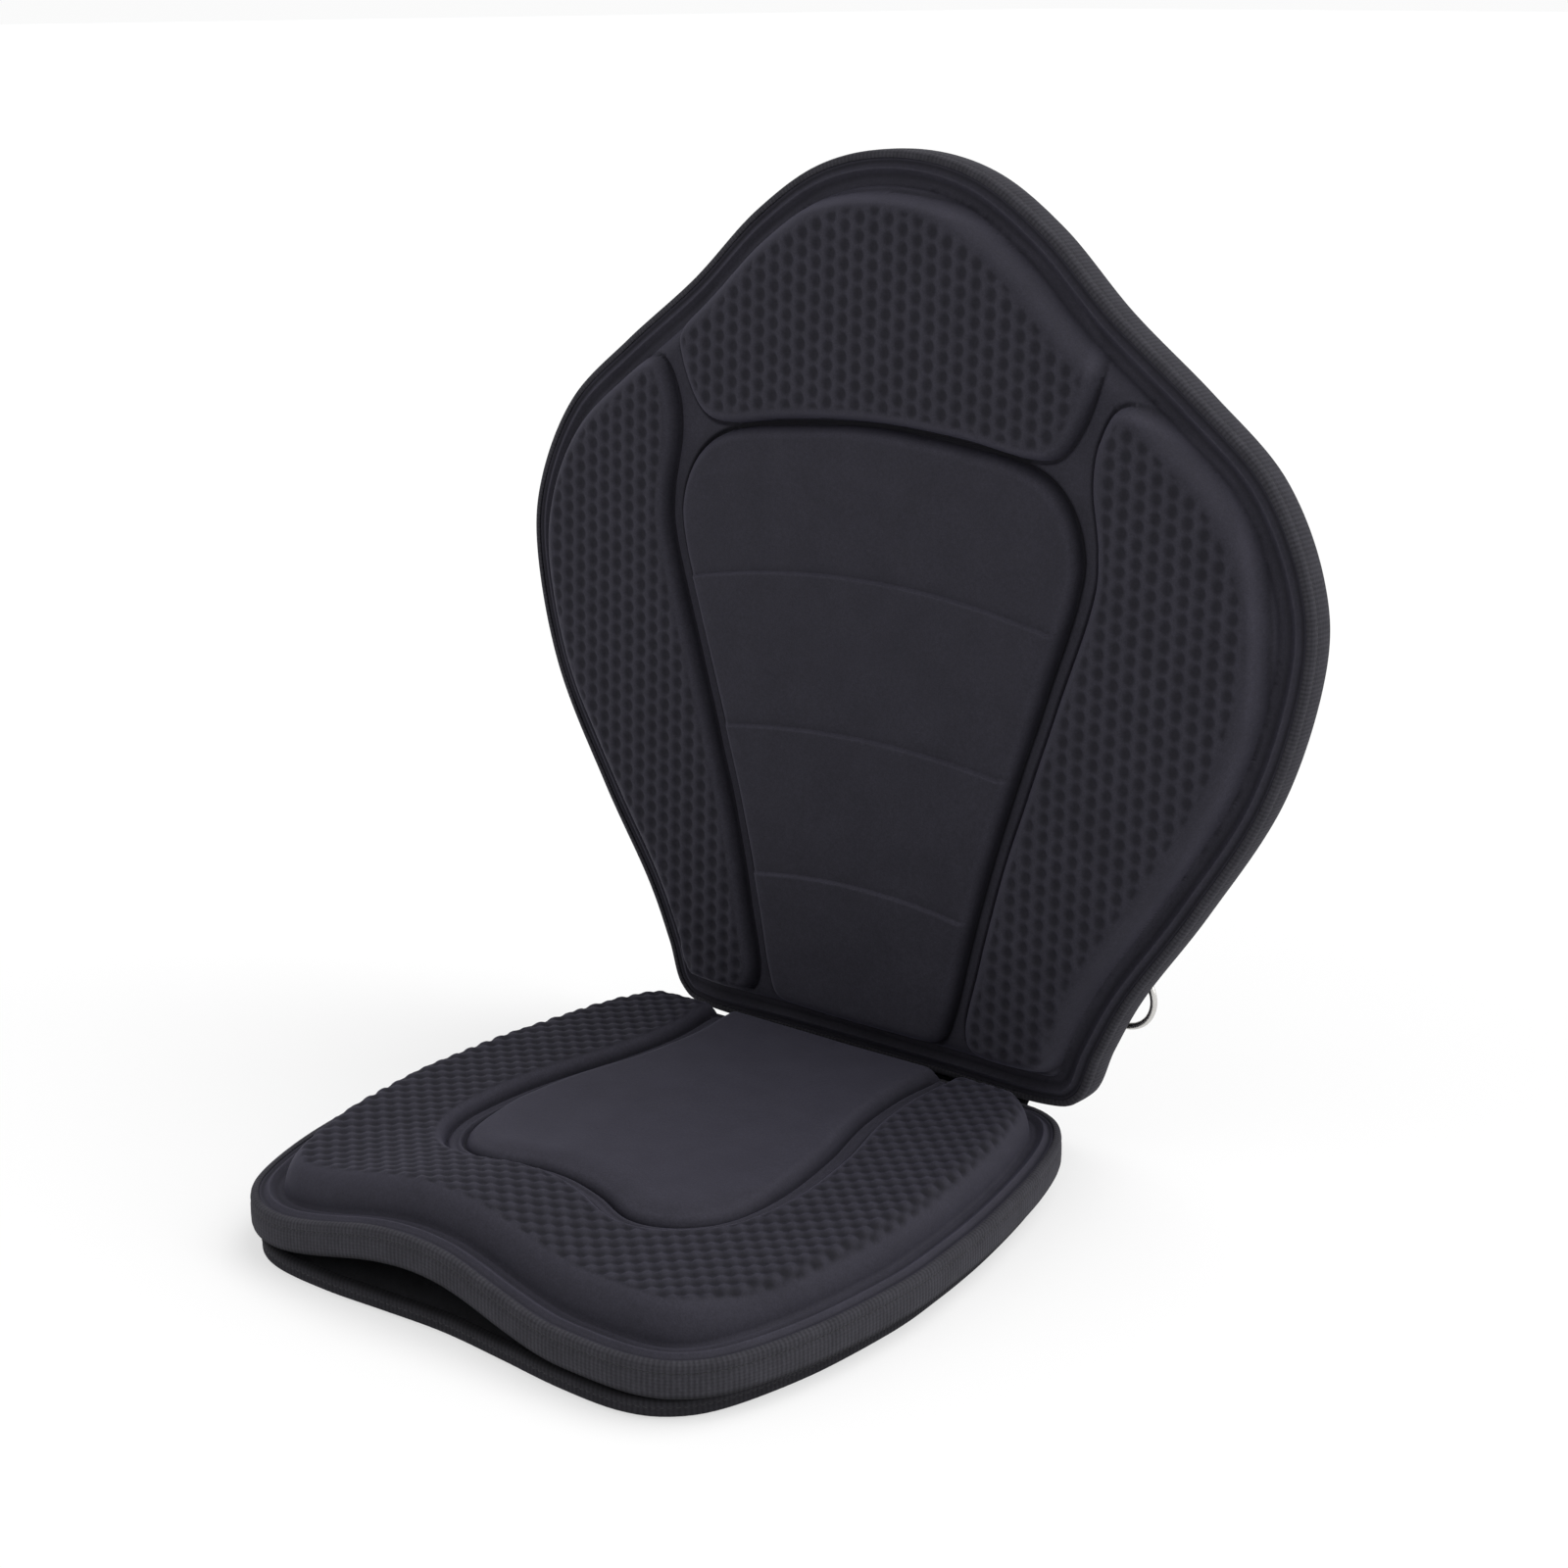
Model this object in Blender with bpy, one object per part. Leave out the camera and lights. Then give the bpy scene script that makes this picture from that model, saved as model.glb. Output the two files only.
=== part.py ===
"""Padded kayak seat: a moulded seat pad on a flat base panel, and a moulded backrest on a cloth hinge.

Metres, +Z up. The origin is the centre of the seat's underside. -Y is the front, where the legs go.
Run it in Blender 4.5, from the text editor or with blender --background --python part.py.
"""

import math

import bmesh
import bpy
import numpy as np
from mathutils import Vector
from mathutils.geometry import delaunay_2d_cdt

# Overall sizes
SEAT_WIDTH = 0.325
SEAT_LENGTH = 0.3115
BACK_WIDTH = 0.466
BACK_HEIGHT = 0.4615
BACK_RECLINE = math.radians(1.9)

# Half outlines, right side, front or top centre first. They are stretched to the overall sizes.
SEAT_OUTLINE = [(0.0, -0.152), (0.035, -0.1540), (0.070, -0.1565), (0.103, -0.1550), (0.1235, -0.1455),
                (0.138, -0.1250), (0.150, -0.0850), (0.1565, -0.0350), (0.1565, 0.0), (0.153, 0.0450),
                (0.144, 0.0980), (0.132, 0.1340), (0.114, 0.1520), (0.085, 0.1550), (0.030, 0.1550)]
HEART_OUTLINE = [(0.0, -0.0665), (0.021, -0.0700), (0.042, -0.0765), (0.061, -0.0690), (0.0745, -0.0500),
                 (0.0780, -0.0190), (0.0735, 0.0220), (0.064, 0.0640), (0.0610, 0.1000), (0.063, 0.1300),
                 (0.060, 0.1480), (0.030, 0.1500)]
BACK_OUTLINE = [(0.0, 0.4465), (0.045, 0.4385), (0.085, 0.4140), (0.124, 0.3780), (0.168, 0.3440),
                (0.2065, 0.3100), (0.229, 0.2660), (0.233, 0.2230), (0.2175, 0.1600), (0.184, 0.0990),
                (0.1525, 0.0500), (0.137, 0.0180), (0.127, -0.0070), (0.106, -0.0150), (0.040, -0.0150)]
CROWN_OUTLINE = [(0.0, 0.4270), (0.048, 0.4200), (0.083, 0.4030), (0.108, 0.3810), (0.122, 0.3580),
                 (0.119, 0.3350), (0.106, 0.3130), (0.088, 0.3090), (0.050, 0.3145), (0.0, 0.3175)]
PANEL_OUTLINE = [(0.0, 0.3145), (0.050, 0.3110), (0.088, 0.3050), (0.108, 0.2920), (0.118, 0.2700),
                 (0.1165, 0.2450), (0.101, 0.1925), (0.086, 0.1430), (0.074, 0.1000), (0.065, 0.0600),
                 (0.0575, 0.0240), (0.050, 0.0080), (0.030, 0.0040)]
WING_OUTLINE = [(0.138, 0.3380), (0.165, 0.3290), (0.192, 0.3080), (0.2085, 0.2720), (0.2145, 0.2300),
                (0.2095, 0.1850), (0.186, 0.1310), (0.155, 0.0780), (0.132, 0.0380), (0.117, 0.0100),
                (0.095, 0.0040), (0.074, 0.0060), (0.0665, 0.0200), (0.073, 0.0540), (0.083, 0.1000),
                (0.0955, 0.1430), (0.1105, 0.1925), (0.1265, 0.2450), (0.128, 0.2700), (0.1235, 0.3000),
                (0.126, 0.3220)]

# Steps across the backrest's centre panel: height at the middle, height at the ends
PANEL_STEPS = [(0.2410, 0.2270), (0.1600, 0.1520), (0.0820, 0.0750)]
STEP_RISE = 0.0014
STEP_RUN = 0.0012

# Moulded pads
SEAT_PAD_RISE = 0.018
BACK_PAD_RISE = 0.018
PAD_SLOPE = 0.011
CHANNEL_SLOPE = 0.006
CHANNEL_WIDTH = 0.010
CHANNEL_DEPTH_SHARE = 0.5
SEAT_RIM = 0.0155
BACK_RIM = 0.0165

# Thicknesses of the layers
CLOTH = 0.0012
BASE_FOAM = 0.0068
SEAT_FOAM = 0.0135
BACK_FOAM = 0.0090
STIFFENER = 0.0020
REAR_FOAM = 0.0040
GAP = 0.0003
PANEL_GAP = 0.0006
LINING_GAP = 0.0007

# How far the seat pad stands out beyond the base on each side
BASE_OVERHANG = 0.0075

# Edge binding
BINDING_WIDTH = 0.012
BINDING_ROUND = 0.0022

# Arch of the seat pad's front edge, which lifts clear of the base panel
ARCH_RISE = 0.0140
ARCH_CENTRE = -0.0225
ARCH_HALF_WIDTH = 0.092
ARCH_DEPTH = 0.150

STIFFENER_INSET = 0.024

# Fold line of the cloth hinge, from the pads that it folds together
FOLD_ABOVE_SEAT_PAD = 0.0006
FOLD_FRONT_OF_BACK_PAD = 0.0019
BACK_SET_BACK = -0.0046
HINGE_CLOTH_WIDTH = 0.180
HINGE_CLOTH_SWEEP = (math.radians(-81), math.radians(-15))
HINGE_SWING_GAP = 0.0006
SEAM_TAPE_HEIGHT = 0.025
SEAM_TAPE_BASE = 0.030

# Stowed side straps behind the backrest
STRAP_START = (0.0920, 0.0715)
STRAP_ANGLE = math.radians(-30.6)
STRAP_WIDTH = 0.025
STRAP_LENGTH = 0.053
STRAP_TAIL = 0.0068
SLIDER_PLACE = 0.0262
SLIDER_SIZE = (0.0230, 0.0330, 0.0020)
SLIDER_BAR = 0.0020
SLIDER_RIM = 0.0032
RING_WIRE = 0.0018
RING_WIDTH = 0.034
RING_REACH = 0.016
PATCH_SIZE = (0.030, 0.038)

# Where the mesh's lines lie on a slope, as shares of its run, and how near lines may come to an edge
SLOPE_SHARES = (0.12, 0.4, 1.0)
CHANNEL_SHARES = (0.2, 1.0)
LINE_GAP = 0.0015

# Spacing of the points along an outline, over the pads and in the arch
OUTLINE_STEP = 0.0165
CONTOUR_STEP = 0.0140
ARCH_GRID = 0.0180
PAD_GRID = 0.0220
PAD_GRID_MARGIN = 0.0090
ARCH_GRID_MARGIN = 0.0060
RING_STEP = 0.0040
SPAN_SAMPLES = 24
LEAST_POINTS = 12
HINGE_CLOTH_LINES = 12

# A moved contour point is kept where it lies at least this share of its distance inside
CONTOUR_SHARE = 0.96
# Roundness of the pads' shoulders: the smaller, the steeper the foot
SHOULDER_POWER = 0.6
# The centre panel is measured over this much height on each side of a ledge
LEDGE_BAND = 0.020
# Room beside the strap in its slider
SLIDER_ROOM = 0.0009


def clear_scene():
    for old in list(bpy.data.objects):
        bpy.data.objects.remove(old, do_unlink=True)


def material(name, colour, roughness, metallic=0.0):
    made = bpy.data.materials.new(name)
    made.use_nodes = True
    shader = made.node_tree.nodes["Principled BSDF"]
    shader.inputs["Base Color"].default_value = (*colour, 1.0)
    shader.inputs["Roughness"].default_value = roughness
    shader.inputs["Metallic"].default_value = metallic
    return made


# Outlines

def stretched(points, drawn, width, length):
    """Points drawn on one outline, stretched to this width and length about that outline's middle line."""
    xs, ys = np.array(drawn).T
    sides = np.array([width / (2 * xs.max()), length / np.ptp(ys)])
    return [tuple(point) for point in np.array(points) * sides]


def mirrored(half):
    """A closed outline from its right half, whose first point is on the middle line."""
    left = [(-x, y) for x, y in reversed(half) if x > 0]
    return half + left


def smooth_loop(corners, step):
    """Evenly spaced points on the smooth closed curve through these corners."""
    corners = np.array(corners)
    before, after, beyond = (np.roll(corners, shift, axis=0) for shift in (1, -1, -2))
    t = np.linspace(0, 1, SPAN_SAMPLES, endpoint=False)[None, :, None]
    p0, p1, p2, p3 = (side[:, None, :] for side in (before, corners, after, beyond))
    curve = 0.5 * (2 * p1 + (p2 - p0) * t + (2 * p0 - 5 * p1 + 4 * p2 - p3) * t**2
                   + (3 * p1 - p0 - 3 * p2 + p3) * t**3)
    curve = curve.reshape(-1, 2)
    closed = np.vstack([curve, curve[:1]])
    along = np.concatenate([[0], np.cumsum(np.linalg.norm(np.diff(closed, axis=0), axis=1))])
    count = max(LEAST_POINTS, round(along[-1] / step))
    wanted = np.linspace(0, along[-1], count, endpoint=False)
    return np.column_stack([np.interp(wanted, along, closed[:, axis]) for axis in (0, 1)])


def turned_left(loop):
    """The same loop, run anticlockwise."""
    x, y = loop.T
    area = np.sum(x * np.roll(y, -1) - y * np.roll(x, -1))
    return loop if area > 0 else loop[::-1]


def inset(loop, distance):
    """The loop's points, each moved inwards along its own normal."""
    along = np.roll(loop, -1, axis=0) - np.roll(loop, 1, axis=0)
    along /= np.linalg.norm(along, axis=1)[:, None]
    inwards = np.column_stack([-along[:, 1], along[:, 0]])
    return loop + inwards * distance


def depth_inside(points, loop):
    """How far each point lies inside a closed loop; negative outside it."""
    points = np.atleast_2d(points)
    start, end = loop, np.roll(loop, -1, axis=0)
    side = end - start
    to_point = points[:, None, :] - start[None]
    share = np.clip((to_point * side).sum(2) / (side**2).sum(1), 0, 1)
    distance = np.linalg.norm(to_point - share[..., None] * side, axis=2).min(axis=1)
    above = (start[None, :, 1] > points[:, None, 1]) != (end[None, :, 1] > points[:, None, 1])
    rise = np.where(side[:, 1] == 0, 1e-12, side[:, 1])
    crossing = start[:, 0] + (points[:, None, 1] - start[:, 1]) * side[:, 0] / rise
    inside = (above & (points[:, None, 0] < crossing)).sum(axis=1) % 2 == 1
    return np.where(inside, distance, -distance)


def contour(loop, distance):
    """Points that lie this far inside the loop, without those that its corners push too near an edge."""
    moved = inset(loop, distance)
    return moved[depth_inside(moved, loop) > CONTOUR_SHARE * distance]


def rounded_rise(distance, run):
    """0 at the foot of a slope and 1 at its top: steep at the foot and round at the shoulder."""
    share = np.clip(distance / run, 0, 1)
    return (1 - (1 - share) ** 2) ** SHOULDER_POWER


# Mesh builders

def add_object(name, mesh, look, parent=None, location=(0, 0, 0)):
    made = bpy.data.objects.new(name, mesh)
    bpy.context.scene.collection.objects.link(made)
    made.data.materials.append(look)
    made.parent = parent
    made.location = location
    return made


def finished_mesh(name, bm, sharp=35):
    bmesh.ops.recalc_face_normals(bm, faces=bm.faces[:])
    mesh = bpy.data.meshes.new(name)
    bm.to_mesh(mesh)
    bm.free()
    mesh.shade_smooth()
    mesh.set_sharp_from_angle(angle=math.radians(sharp))
    return mesh


def closed_edges(first, count):
    """The edges of a closed loop whose points are numbered from first."""
    return [(first + index, first + (index + 1) % count) for index in range(count)]


def open_edges(first, count):
    """The edges of an open line whose points are numbered from first."""
    return [(first + index, first + index + 1) for index in range(count - 1)]


def plate(name, loop, top, bottom, creases=(), folds=(), inner=(), flat_bottom=True):
    """A closed sheet over the loop. top and bottom give heights.

    creases are closed loops and folds are open lines that the mesh keeps as edges.
    inner lists more points that shape the top.
    """
    inner = [group for group in inner if len(group)]
    points = np.vstack([loop, *creases, *folds, *inner])
    kept, first = [], len(loop)
    for lines, edges_of in ((creases, closed_edges), (folds, open_edges)):
        for line in lines:
            kept += edges_of(first, len(line))
            first += len(line)
    border = [list(range(len(loop)))]
    flat, _, faces, *_ = delaunay_2d_cdt([Vector(point) for point in points], kept, border, 1, 1e-6)
    flat = np.array([tuple(point) for point in flat])
    upper, lower = top(flat), bottom(flat)
    bm = bmesh.new()
    high = [bm.verts.new((x, y, z)) for (x, y), z in zip(flat, upper)]
    for face in faces:
        bm.faces.new([high[index] for index in face])
    rim = [edge for edge in bm.edges if edge.is_boundary]
    low = {}
    for vert, z in zip(list(high), lower):
        if not flat_bottom or vert.is_boundary:
            low[vert] = bm.verts.new((vert.co.x, vert.co.y, z))
    for edge in rim:
        a, b = edge.verts
        bm.faces.new((a, b, low[b], low[a]))
    if flat_bottom:
        ring = [edge for edge in bm.edges if edge.is_boundary]
        bmesh.ops.contextual_create(bm, geom=ring)
    else:
        for face in faces:
            bm.faces.new([low[high[index]] for index in reversed(face)])
    return finished_mesh(name, bm)


def level(height):
    """A flat surface at this height."""
    return lambda points: np.full(len(points), height)


def ring_sweep(name, loop, section, lift=None):
    """A closed band: the section's points are (inset, height), swept round the loop."""
    rows = [np.column_stack([inset(loop, inwards), np.full(len(loop), height)]) for inwards, height in section]
    if lift is not None:
        for row in rows:
            row[:, 2] += lift(row[:, :2])
    bm = bmesh.new()
    verts = [[bm.verts.new(point) for point in row] for row in rows]
    for index, row in enumerate(verts):
        other = verts[(index + 1) % len(verts)]
        for here in range(len(loop)):
            there = (here + 1) % len(loop)
            bm.faces.new((row[here], row[there], other[there], other[here]))
    return finished_mesh(name, bm)


def binding_section(low, high):
    """A tape folded round an edge from the height low to the height high, open inwards."""
    width, cloth, round_off = BINDING_WIDTH, CLOTH, BINDING_ROUND
    return [(round_off, low), (width, low), (width, low + cloth), (cloth, low + cloth),
            (cloth, high - cloth), (width, high - cloth), (width, high), (round_off, high),
            (0.0, high - round_off), (0.0, low + round_off)]


def prism(name, corners, low, high):
    """A straight plate with these corners, between two heights."""
    bm = bmesh.new()
    floor = bm.faces.new([bm.verts.new((x, y, low)) for x, y in corners])
    raised = bmesh.ops.extrude_face_region(bm, geom=[floor])
    for item in raised["geom"]:
        if isinstance(item, bmesh.types.BMVert):
            item.co.z = high
    return finished_mesh(name, bm)


# Sizes worked out from the driving ones

def seat_points(points):
    return stretched(points, SEAT_OUTLINE, SEAT_WIDTH, SEAT_LENGTH)


def back_points(points):
    return stretched(points, BACK_OUTLINE, BACK_WIDTH, BACK_HEIGHT)


def outline(points, step=OUTLINE_STEP):
    return turned_left(smooth_loop(mirrored(points), step))


def base_points(points):
    return stretched(points, SEAT_OUTLINE, SEAT_WIDTH - 2 * BASE_OVERHANG, SEAT_LENGTH)


SEAT_LOOP = outline(seat_points(SEAT_OUTLINE))
BASE_LOOP = outline(base_points(SEAT_OUTLINE))
BACK_LOOP = outline(back_points(BACK_OUTLINE))
EDGE_INSET = CLOTH + GAP
CLOTH_INSET = BINDING_WIDTH + GAP

BASE_FOAM_LOW = CLOTH + GAP
BASE_FOAM_HIGH = BASE_FOAM_LOW + BASE_FOAM
BASE_BINDING_HIGH = BASE_FOAM_HIGH + GAP + CLOTH
SEAT_BINDING_LOW = BASE_BINDING_HIGH + PANEL_GAP
SEAT_FOAM_LOW = SEAT_BINDING_LOW + CLOTH + LINING_GAP
SEAT_FLANGE = SEAT_FOAM_LOW + SEAT_FOAM
SEAT_BINDING_HIGH = SEAT_FLANGE + GAP + CLOTH
SEAT_PAD_TOP = SEAT_FLANGE + SEAT_PAD_RISE

# Heights of the backrest's layers, measured forwards from the face of its pads
BACK_FLANGE = -BACK_PAD_RISE
BACK_FOAM_REAR = BACK_FLANGE - BACK_FOAM
STIFFENER_FRONT = BACK_FOAM_REAR - GAP
REAR_FOAM_FRONT = STIFFENER_FRONT - STIFFENER - GAP
REAR_FOAM_REAR = REAR_FOAM_FRONT - REAR_FOAM
BACK_BINDING_FRONT = BACK_FLANGE + GAP + CLOTH
BACK_BINDING_REAR = REAR_FOAM_REAR - GAP - CLOTH

SEAT_REAR = SEAT_LOOP[:, 1].max()
FOLD_Y = SEAT_REAR + BACK_SET_BACK - FOLD_FRONT_OF_BACK_PAD
FOLD_Z = SEAT_PAD_TOP + FOLD_ABOVE_SEAT_PAD
# Height of the fold line on the backrest's own outline drawing
FOLD_ON_BACK = 0.0064


def seat_arch(points):
    """How far the front edge's arch lifts each point of the seat pad's layers."""
    across = np.clip((points[:, 0] - ARCH_CENTRE) / ARCH_HALF_WIDTH, -1, 1)
    back = np.clip((points[:, 1] - SEAT_LOOP[:, 1].min()) / ARCH_DEPTH, 0, 1)
    return ARCH_RISE * np.cos(across * math.pi / 2) ** 2 * np.cos(back * math.pi / 2) ** 2


def arch_grid():
    """A grid of points under the arch, where flat layers bend."""
    xs = np.arange(-SEAT_WIDTH / 2, SEAT_WIDTH / 2, ARCH_GRID)
    ys = np.arange(SEAT_LOOP[:, 1].min(), SEAT_LOOP[:, 1].min() + ARCH_DEPTH + ARCH_GRID, ARCH_GRID)
    grid = np.array([(x, y) for x in xs for y in ys])
    near = np.abs(grid[:, 0] - ARCH_CENTRE) < ARCH_HALF_WIDTH + ARCH_GRID
    return grid[near]


def arch_grid_inside(loop):
    grid = arch_grid()
    return grid[depth_inside(grid, loop) > ARCH_GRID_MARGIN]


# Seat

def make_seat_base(cloth, foam, tape):
    grip_loop = inset(BASE_LOOP, CLOTH_INSET)
    add_object("seat_grip_sheet", plate("seat_grip_sheet", grip_loop, level(CLOTH), level(0.0)), cloth)
    core_loop = inset(BASE_LOOP, EDGE_INSET)
    core = plate("seat_base_panel", core_loop, level(BASE_FOAM_HIGH), level(BASE_FOAM_LOW))
    add_object("seat_base_panel", core, foam)
    section = binding_section(GAP, BASE_BINDING_HIGH)
    add_object("seat_base_binding", ring_sweep("seat_base_binding", BASE_LOOP, section), tape)


def seat_pad_height(points, block, heart):
    """Height of the moulded seat pad above its rim."""
    body = rounded_rise(depth_inside(points, block), PAD_SLOPE)
    depth = depth_inside(points, heart)
    inner = rounded_rise(depth, CHANNEL_SLOPE)
    outer = rounded_rise(-depth - CHANNEL_WIDTH, CHANNEL_SLOPE)
    raised = np.maximum(inner, outer)
    return SEAT_PAD_RISE * body * (1 - CHANNEL_DEPTH_SHARE * (1 - raised))


def make_seat_shell(pad, tape, cloth):
    edge = inset(SEAT_LOOP, EDGE_INSET)
    block = turned_left(smooth_loop(inset(SEAT_LOOP, SEAT_RIM), CONTOUR_STEP))
    heart = outline(seat_points(HEART_OUTLINE), CONTOUR_STEP)
    inner = [contour(block, share * PAD_SLOPE) for share in SLOPE_SHARES]
    for side in (0, -1):
        inner += [inset(heart, side * CHANNEL_WIDTH)]
        inner += [inset(heart, side * CHANNEL_WIDTH + (1 + 2 * side) * share * CHANNEL_SLOPE)
                  for share in CHANNEL_SHARES]
    inner = [line[depth_inside(line, block) > LINE_GAP] for line in inner]
    inner.append(sparse_grid(edge, [block, *inner]))

    def top(points):
        return SEAT_FLANGE + seat_pad_height(points, block, heart) + seat_arch(points)

    def bottom(points):
        return SEAT_FOAM_LOW + seat_arch(points)

    shell = plate("seat_pad_shell", edge, top, bottom, [block], [], inner, flat_bottom=False)
    add_object("seat_pad_shell", shell, pad)
    section = binding_section(SEAT_BINDING_LOW, SEAT_BINDING_HIGH)
    add_object("seat_pad_binding", ring_sweep("seat_pad_binding", SEAT_LOOP, section, seat_arch), tape)
    lining_loop = inset(SEAT_LOOP, CLOTH_INSET)

    def lining_top(points):
        return SEAT_BINDING_LOW + CLOTH + seat_arch(points)

    def lining_bottom(points):
        return SEAT_BINDING_LOW + seat_arch(points)

    grid = [arch_grid_inside(lining_loop)]
    lining = plate("seat_pad_lining", lining_loop, lining_top, lining_bottom, [], [], grid, flat_bottom=False)
    add_object("seat_pad_lining", lining, cloth)


def sparse_grid(loop, lines):
    """A wide grid inside the loop, clear of the lines that already shape the surface."""
    low, high = loop.min(axis=0), loop.max(axis=0)
    xs, ys = (np.arange(low[axis], high[axis], PAD_GRID) for axis in (0, 1))
    grid = np.array([(x, y) for x in xs for y in ys])
    grid = grid[depth_inside(grid, loop) > PAD_GRID_MARGIN]
    taken = np.vstack(lines)
    nearest = np.linalg.norm(grid[:, None] - taken[None], axis=2).min(axis=1)
    return grid[nearest > PAD_GRID_MARGIN]


# Hinge

def backrest_frame():
    """The empty on the fold line that carries the backrest. Its Y runs up the backrest, its Z forwards."""
    frame = bpy.data.objects.new("backrest_fold_line", None)
    bpy.context.scene.collection.objects.link(frame)
    frame.location = (0, FOLD_Y, FOLD_Z)
    frame.rotation_euler = (math.pi / 2 - BACK_RECLINE, 0, 0)
    return frame


def back_offset():
    """Where the backrest's drawing starts, seen from the fold line."""
    return (0, -FOLD_ON_BACK, -FOLD_FRONT_OF_BACK_PAD)


def lower_edge_radius():
    """How far the backrest's lower rear edge is from the fold line."""
    _, up, forward = back_offset()
    bottom = BACK_LOOP[:, 1].min() + up
    corners = [(bottom + BINDING_ROUND, BACK_BINDING_REAR + forward),
               (bottom, BACK_BINDING_REAR + BINDING_ROUND + forward)]
    return max(math.hypot(*corner) for corner in corners)


def make_hinge_cloth(cloth):
    """The part of the hinge cloth that hangs from the seat, in an arc that the backrest's edge clears."""
    inner = lower_edge_radius() + HINGE_SWING_GAP
    start, end = HINGE_CLOTH_SWEEP
    start_at_seat = math.asin((SEAT_REAR + GAP - FOLD_Y) / inner) - math.pi / 2
    angles = np.linspace(max(start, start_at_seat), end, HINGE_CLOTH_LINES)
    arc = [(FOLD_Y + inner * math.cos(a), FOLD_Z + inner * math.sin(a)) for a in angles]
    outer = inner + CLOTH
    arc += [(FOLD_Y + outer * math.cos(a), FOLD_Z + outer * math.sin(a)) for a in reversed(angles)]
    mesh = prism("hinge_cloth", arc, -HINGE_CLOTH_WIDTH / 2, HINGE_CLOTH_WIDTH / 2)
    made = add_object("hinge_cloth", mesh, cloth)
    made.rotation_euler = (math.pi / 2, 0, math.pi / 2)


# Backrest

def step_line(middle, end, half_width):
    """A shallow arch across the centre panel, as a function of the distance from its middle."""
    return lambda x: middle - (middle - end) * (x / half_width) ** 2


def panel_half_width(height, panel):
    """Half the centre panel's width at this height."""
    nearby = np.abs(panel[:, 1] - height) < LEDGE_BAND
    return np.abs(panel[nearby, 0]).max()


def back_stretch(height):
    """A height on the drawing, stretched as the outline is."""
    return back_points([(0.0, height)])[0][1]


def panel_steps(points, panel):
    """Small ledges across the centre panel: each band stands proud at its top and fades downwards."""
    steps = [(back_stretch(middle), back_stretch(end)) for middle, end in PANEL_STEPS]
    rise = np.zeros(len(points))
    bottoms = [middle for middle, _ in steps[1:]] + [panel[:, 1].min()]
    for (middle, end), bottom in zip(steps, bottoms):
        line = step_line(middle, end, panel_half_width(end, panel))(points[:, 0])
        below = line - points[:, 1]
        length = middle - bottom
        ledge = np.clip(below / STEP_RUN, 0, 1) * np.clip(1 - below / length, 0, 1)
        rise = np.maximum(rise, STEP_RISE * ledge)
    return rise * np.clip(depth_inside(points, panel) / CHANNEL_SLOPE, 0, 1)


def back_pad_height(points, block, islands, panel):
    """Height of the moulded backrest pads above their rim."""
    body = rounded_rise(depth_inside(points, block), PAD_SLOPE)
    raised = np.max([rounded_rise(depth_inside(points, island), CHANNEL_SLOPE) for island in islands], axis=0)
    return BACK_PAD_RISE * body * (1 - CHANNEL_DEPTH_SHARE * (1 - raised)) + panel_steps(points, panel)


def panel_step_lines(panel):
    """Two lines along each ledge, so that it stays crisp."""
    rows = []
    for middle, end in [(back_stretch(m), back_stretch(e)) for m, e in PANEL_STEPS]:
        half = panel_half_width(end, panel) - CHANNEL_SLOPE
        xs = np.linspace(-half, half, max(4, round(2 * half / CONTOUR_STEP)))
        ys = step_line(middle, end, half + CHANNEL_SLOPE)(xs)
        rows += [np.column_stack([xs, ys]), np.column_stack([xs, ys - STEP_RUN])]
    return rows


def make_backrest(frame, pad, board, foam, tape, cloth):
    offset = back_offset()
    edge = inset(BACK_LOOP, EDGE_INSET)
    block = turned_left(smooth_loop(inset(BACK_LOOP, BACK_RIM), CONTOUR_STEP))
    panel = outline(back_points(PANEL_OUTLINE), CONTOUR_STEP)
    crown = outline(back_points(CROWN_OUTLINE), CONTOUR_STEP)
    right = turned_left(smooth_loop(back_points(WING_OUTLINE), CONTOUR_STEP))
    left = turned_left(right * (-1, 1))
    islands = [crown, panel, right, left]
    lines = [contour(block, share * PAD_SLOPE) for share in SLOPE_SHARES]
    for island in islands:
        lines += [island] + [contour(island, share * CHANNEL_SLOPE) for share in CHANNEL_SHARES]
    lines = [line[depth_inside(line, block) > LINE_GAP] for line in lines]
    ledges = panel_step_lines(panel)
    lines.append(sparse_grid(edge, [block, *ledges, *lines]))

    def top(points):
        return BACK_FLANGE + back_pad_height(points, block, islands, panel)

    shell = plate("backrest_shell", edge, top, level(BACK_FOAM_REAR), [block], ledges, lines)
    add_object("backrest_shell", shell, pad, frame, offset)
    board_loop = inset(BACK_LOOP, STIFFENER_INSET)
    stiffener = plate("backrest_stiffener", board_loop, level(STIFFENER_FRONT), level(STIFFENER_FRONT - STIFFENER))
    add_object("backrest_stiffener", stiffener, board, frame, offset)
    rear = plate("backrest_rear_panel", edge, level(REAR_FOAM_FRONT), level(REAR_FOAM_REAR))
    add_object("backrest_rear_panel", rear, foam, frame, offset)
    section = binding_section(BACK_BINDING_REAR, BACK_BINDING_FRONT)
    add_object("backrest_binding", ring_sweep("backrest_binding", BACK_LOOP, section), tape, frame, offset)
    make_seam_tape(frame, offset, cloth)


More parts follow.
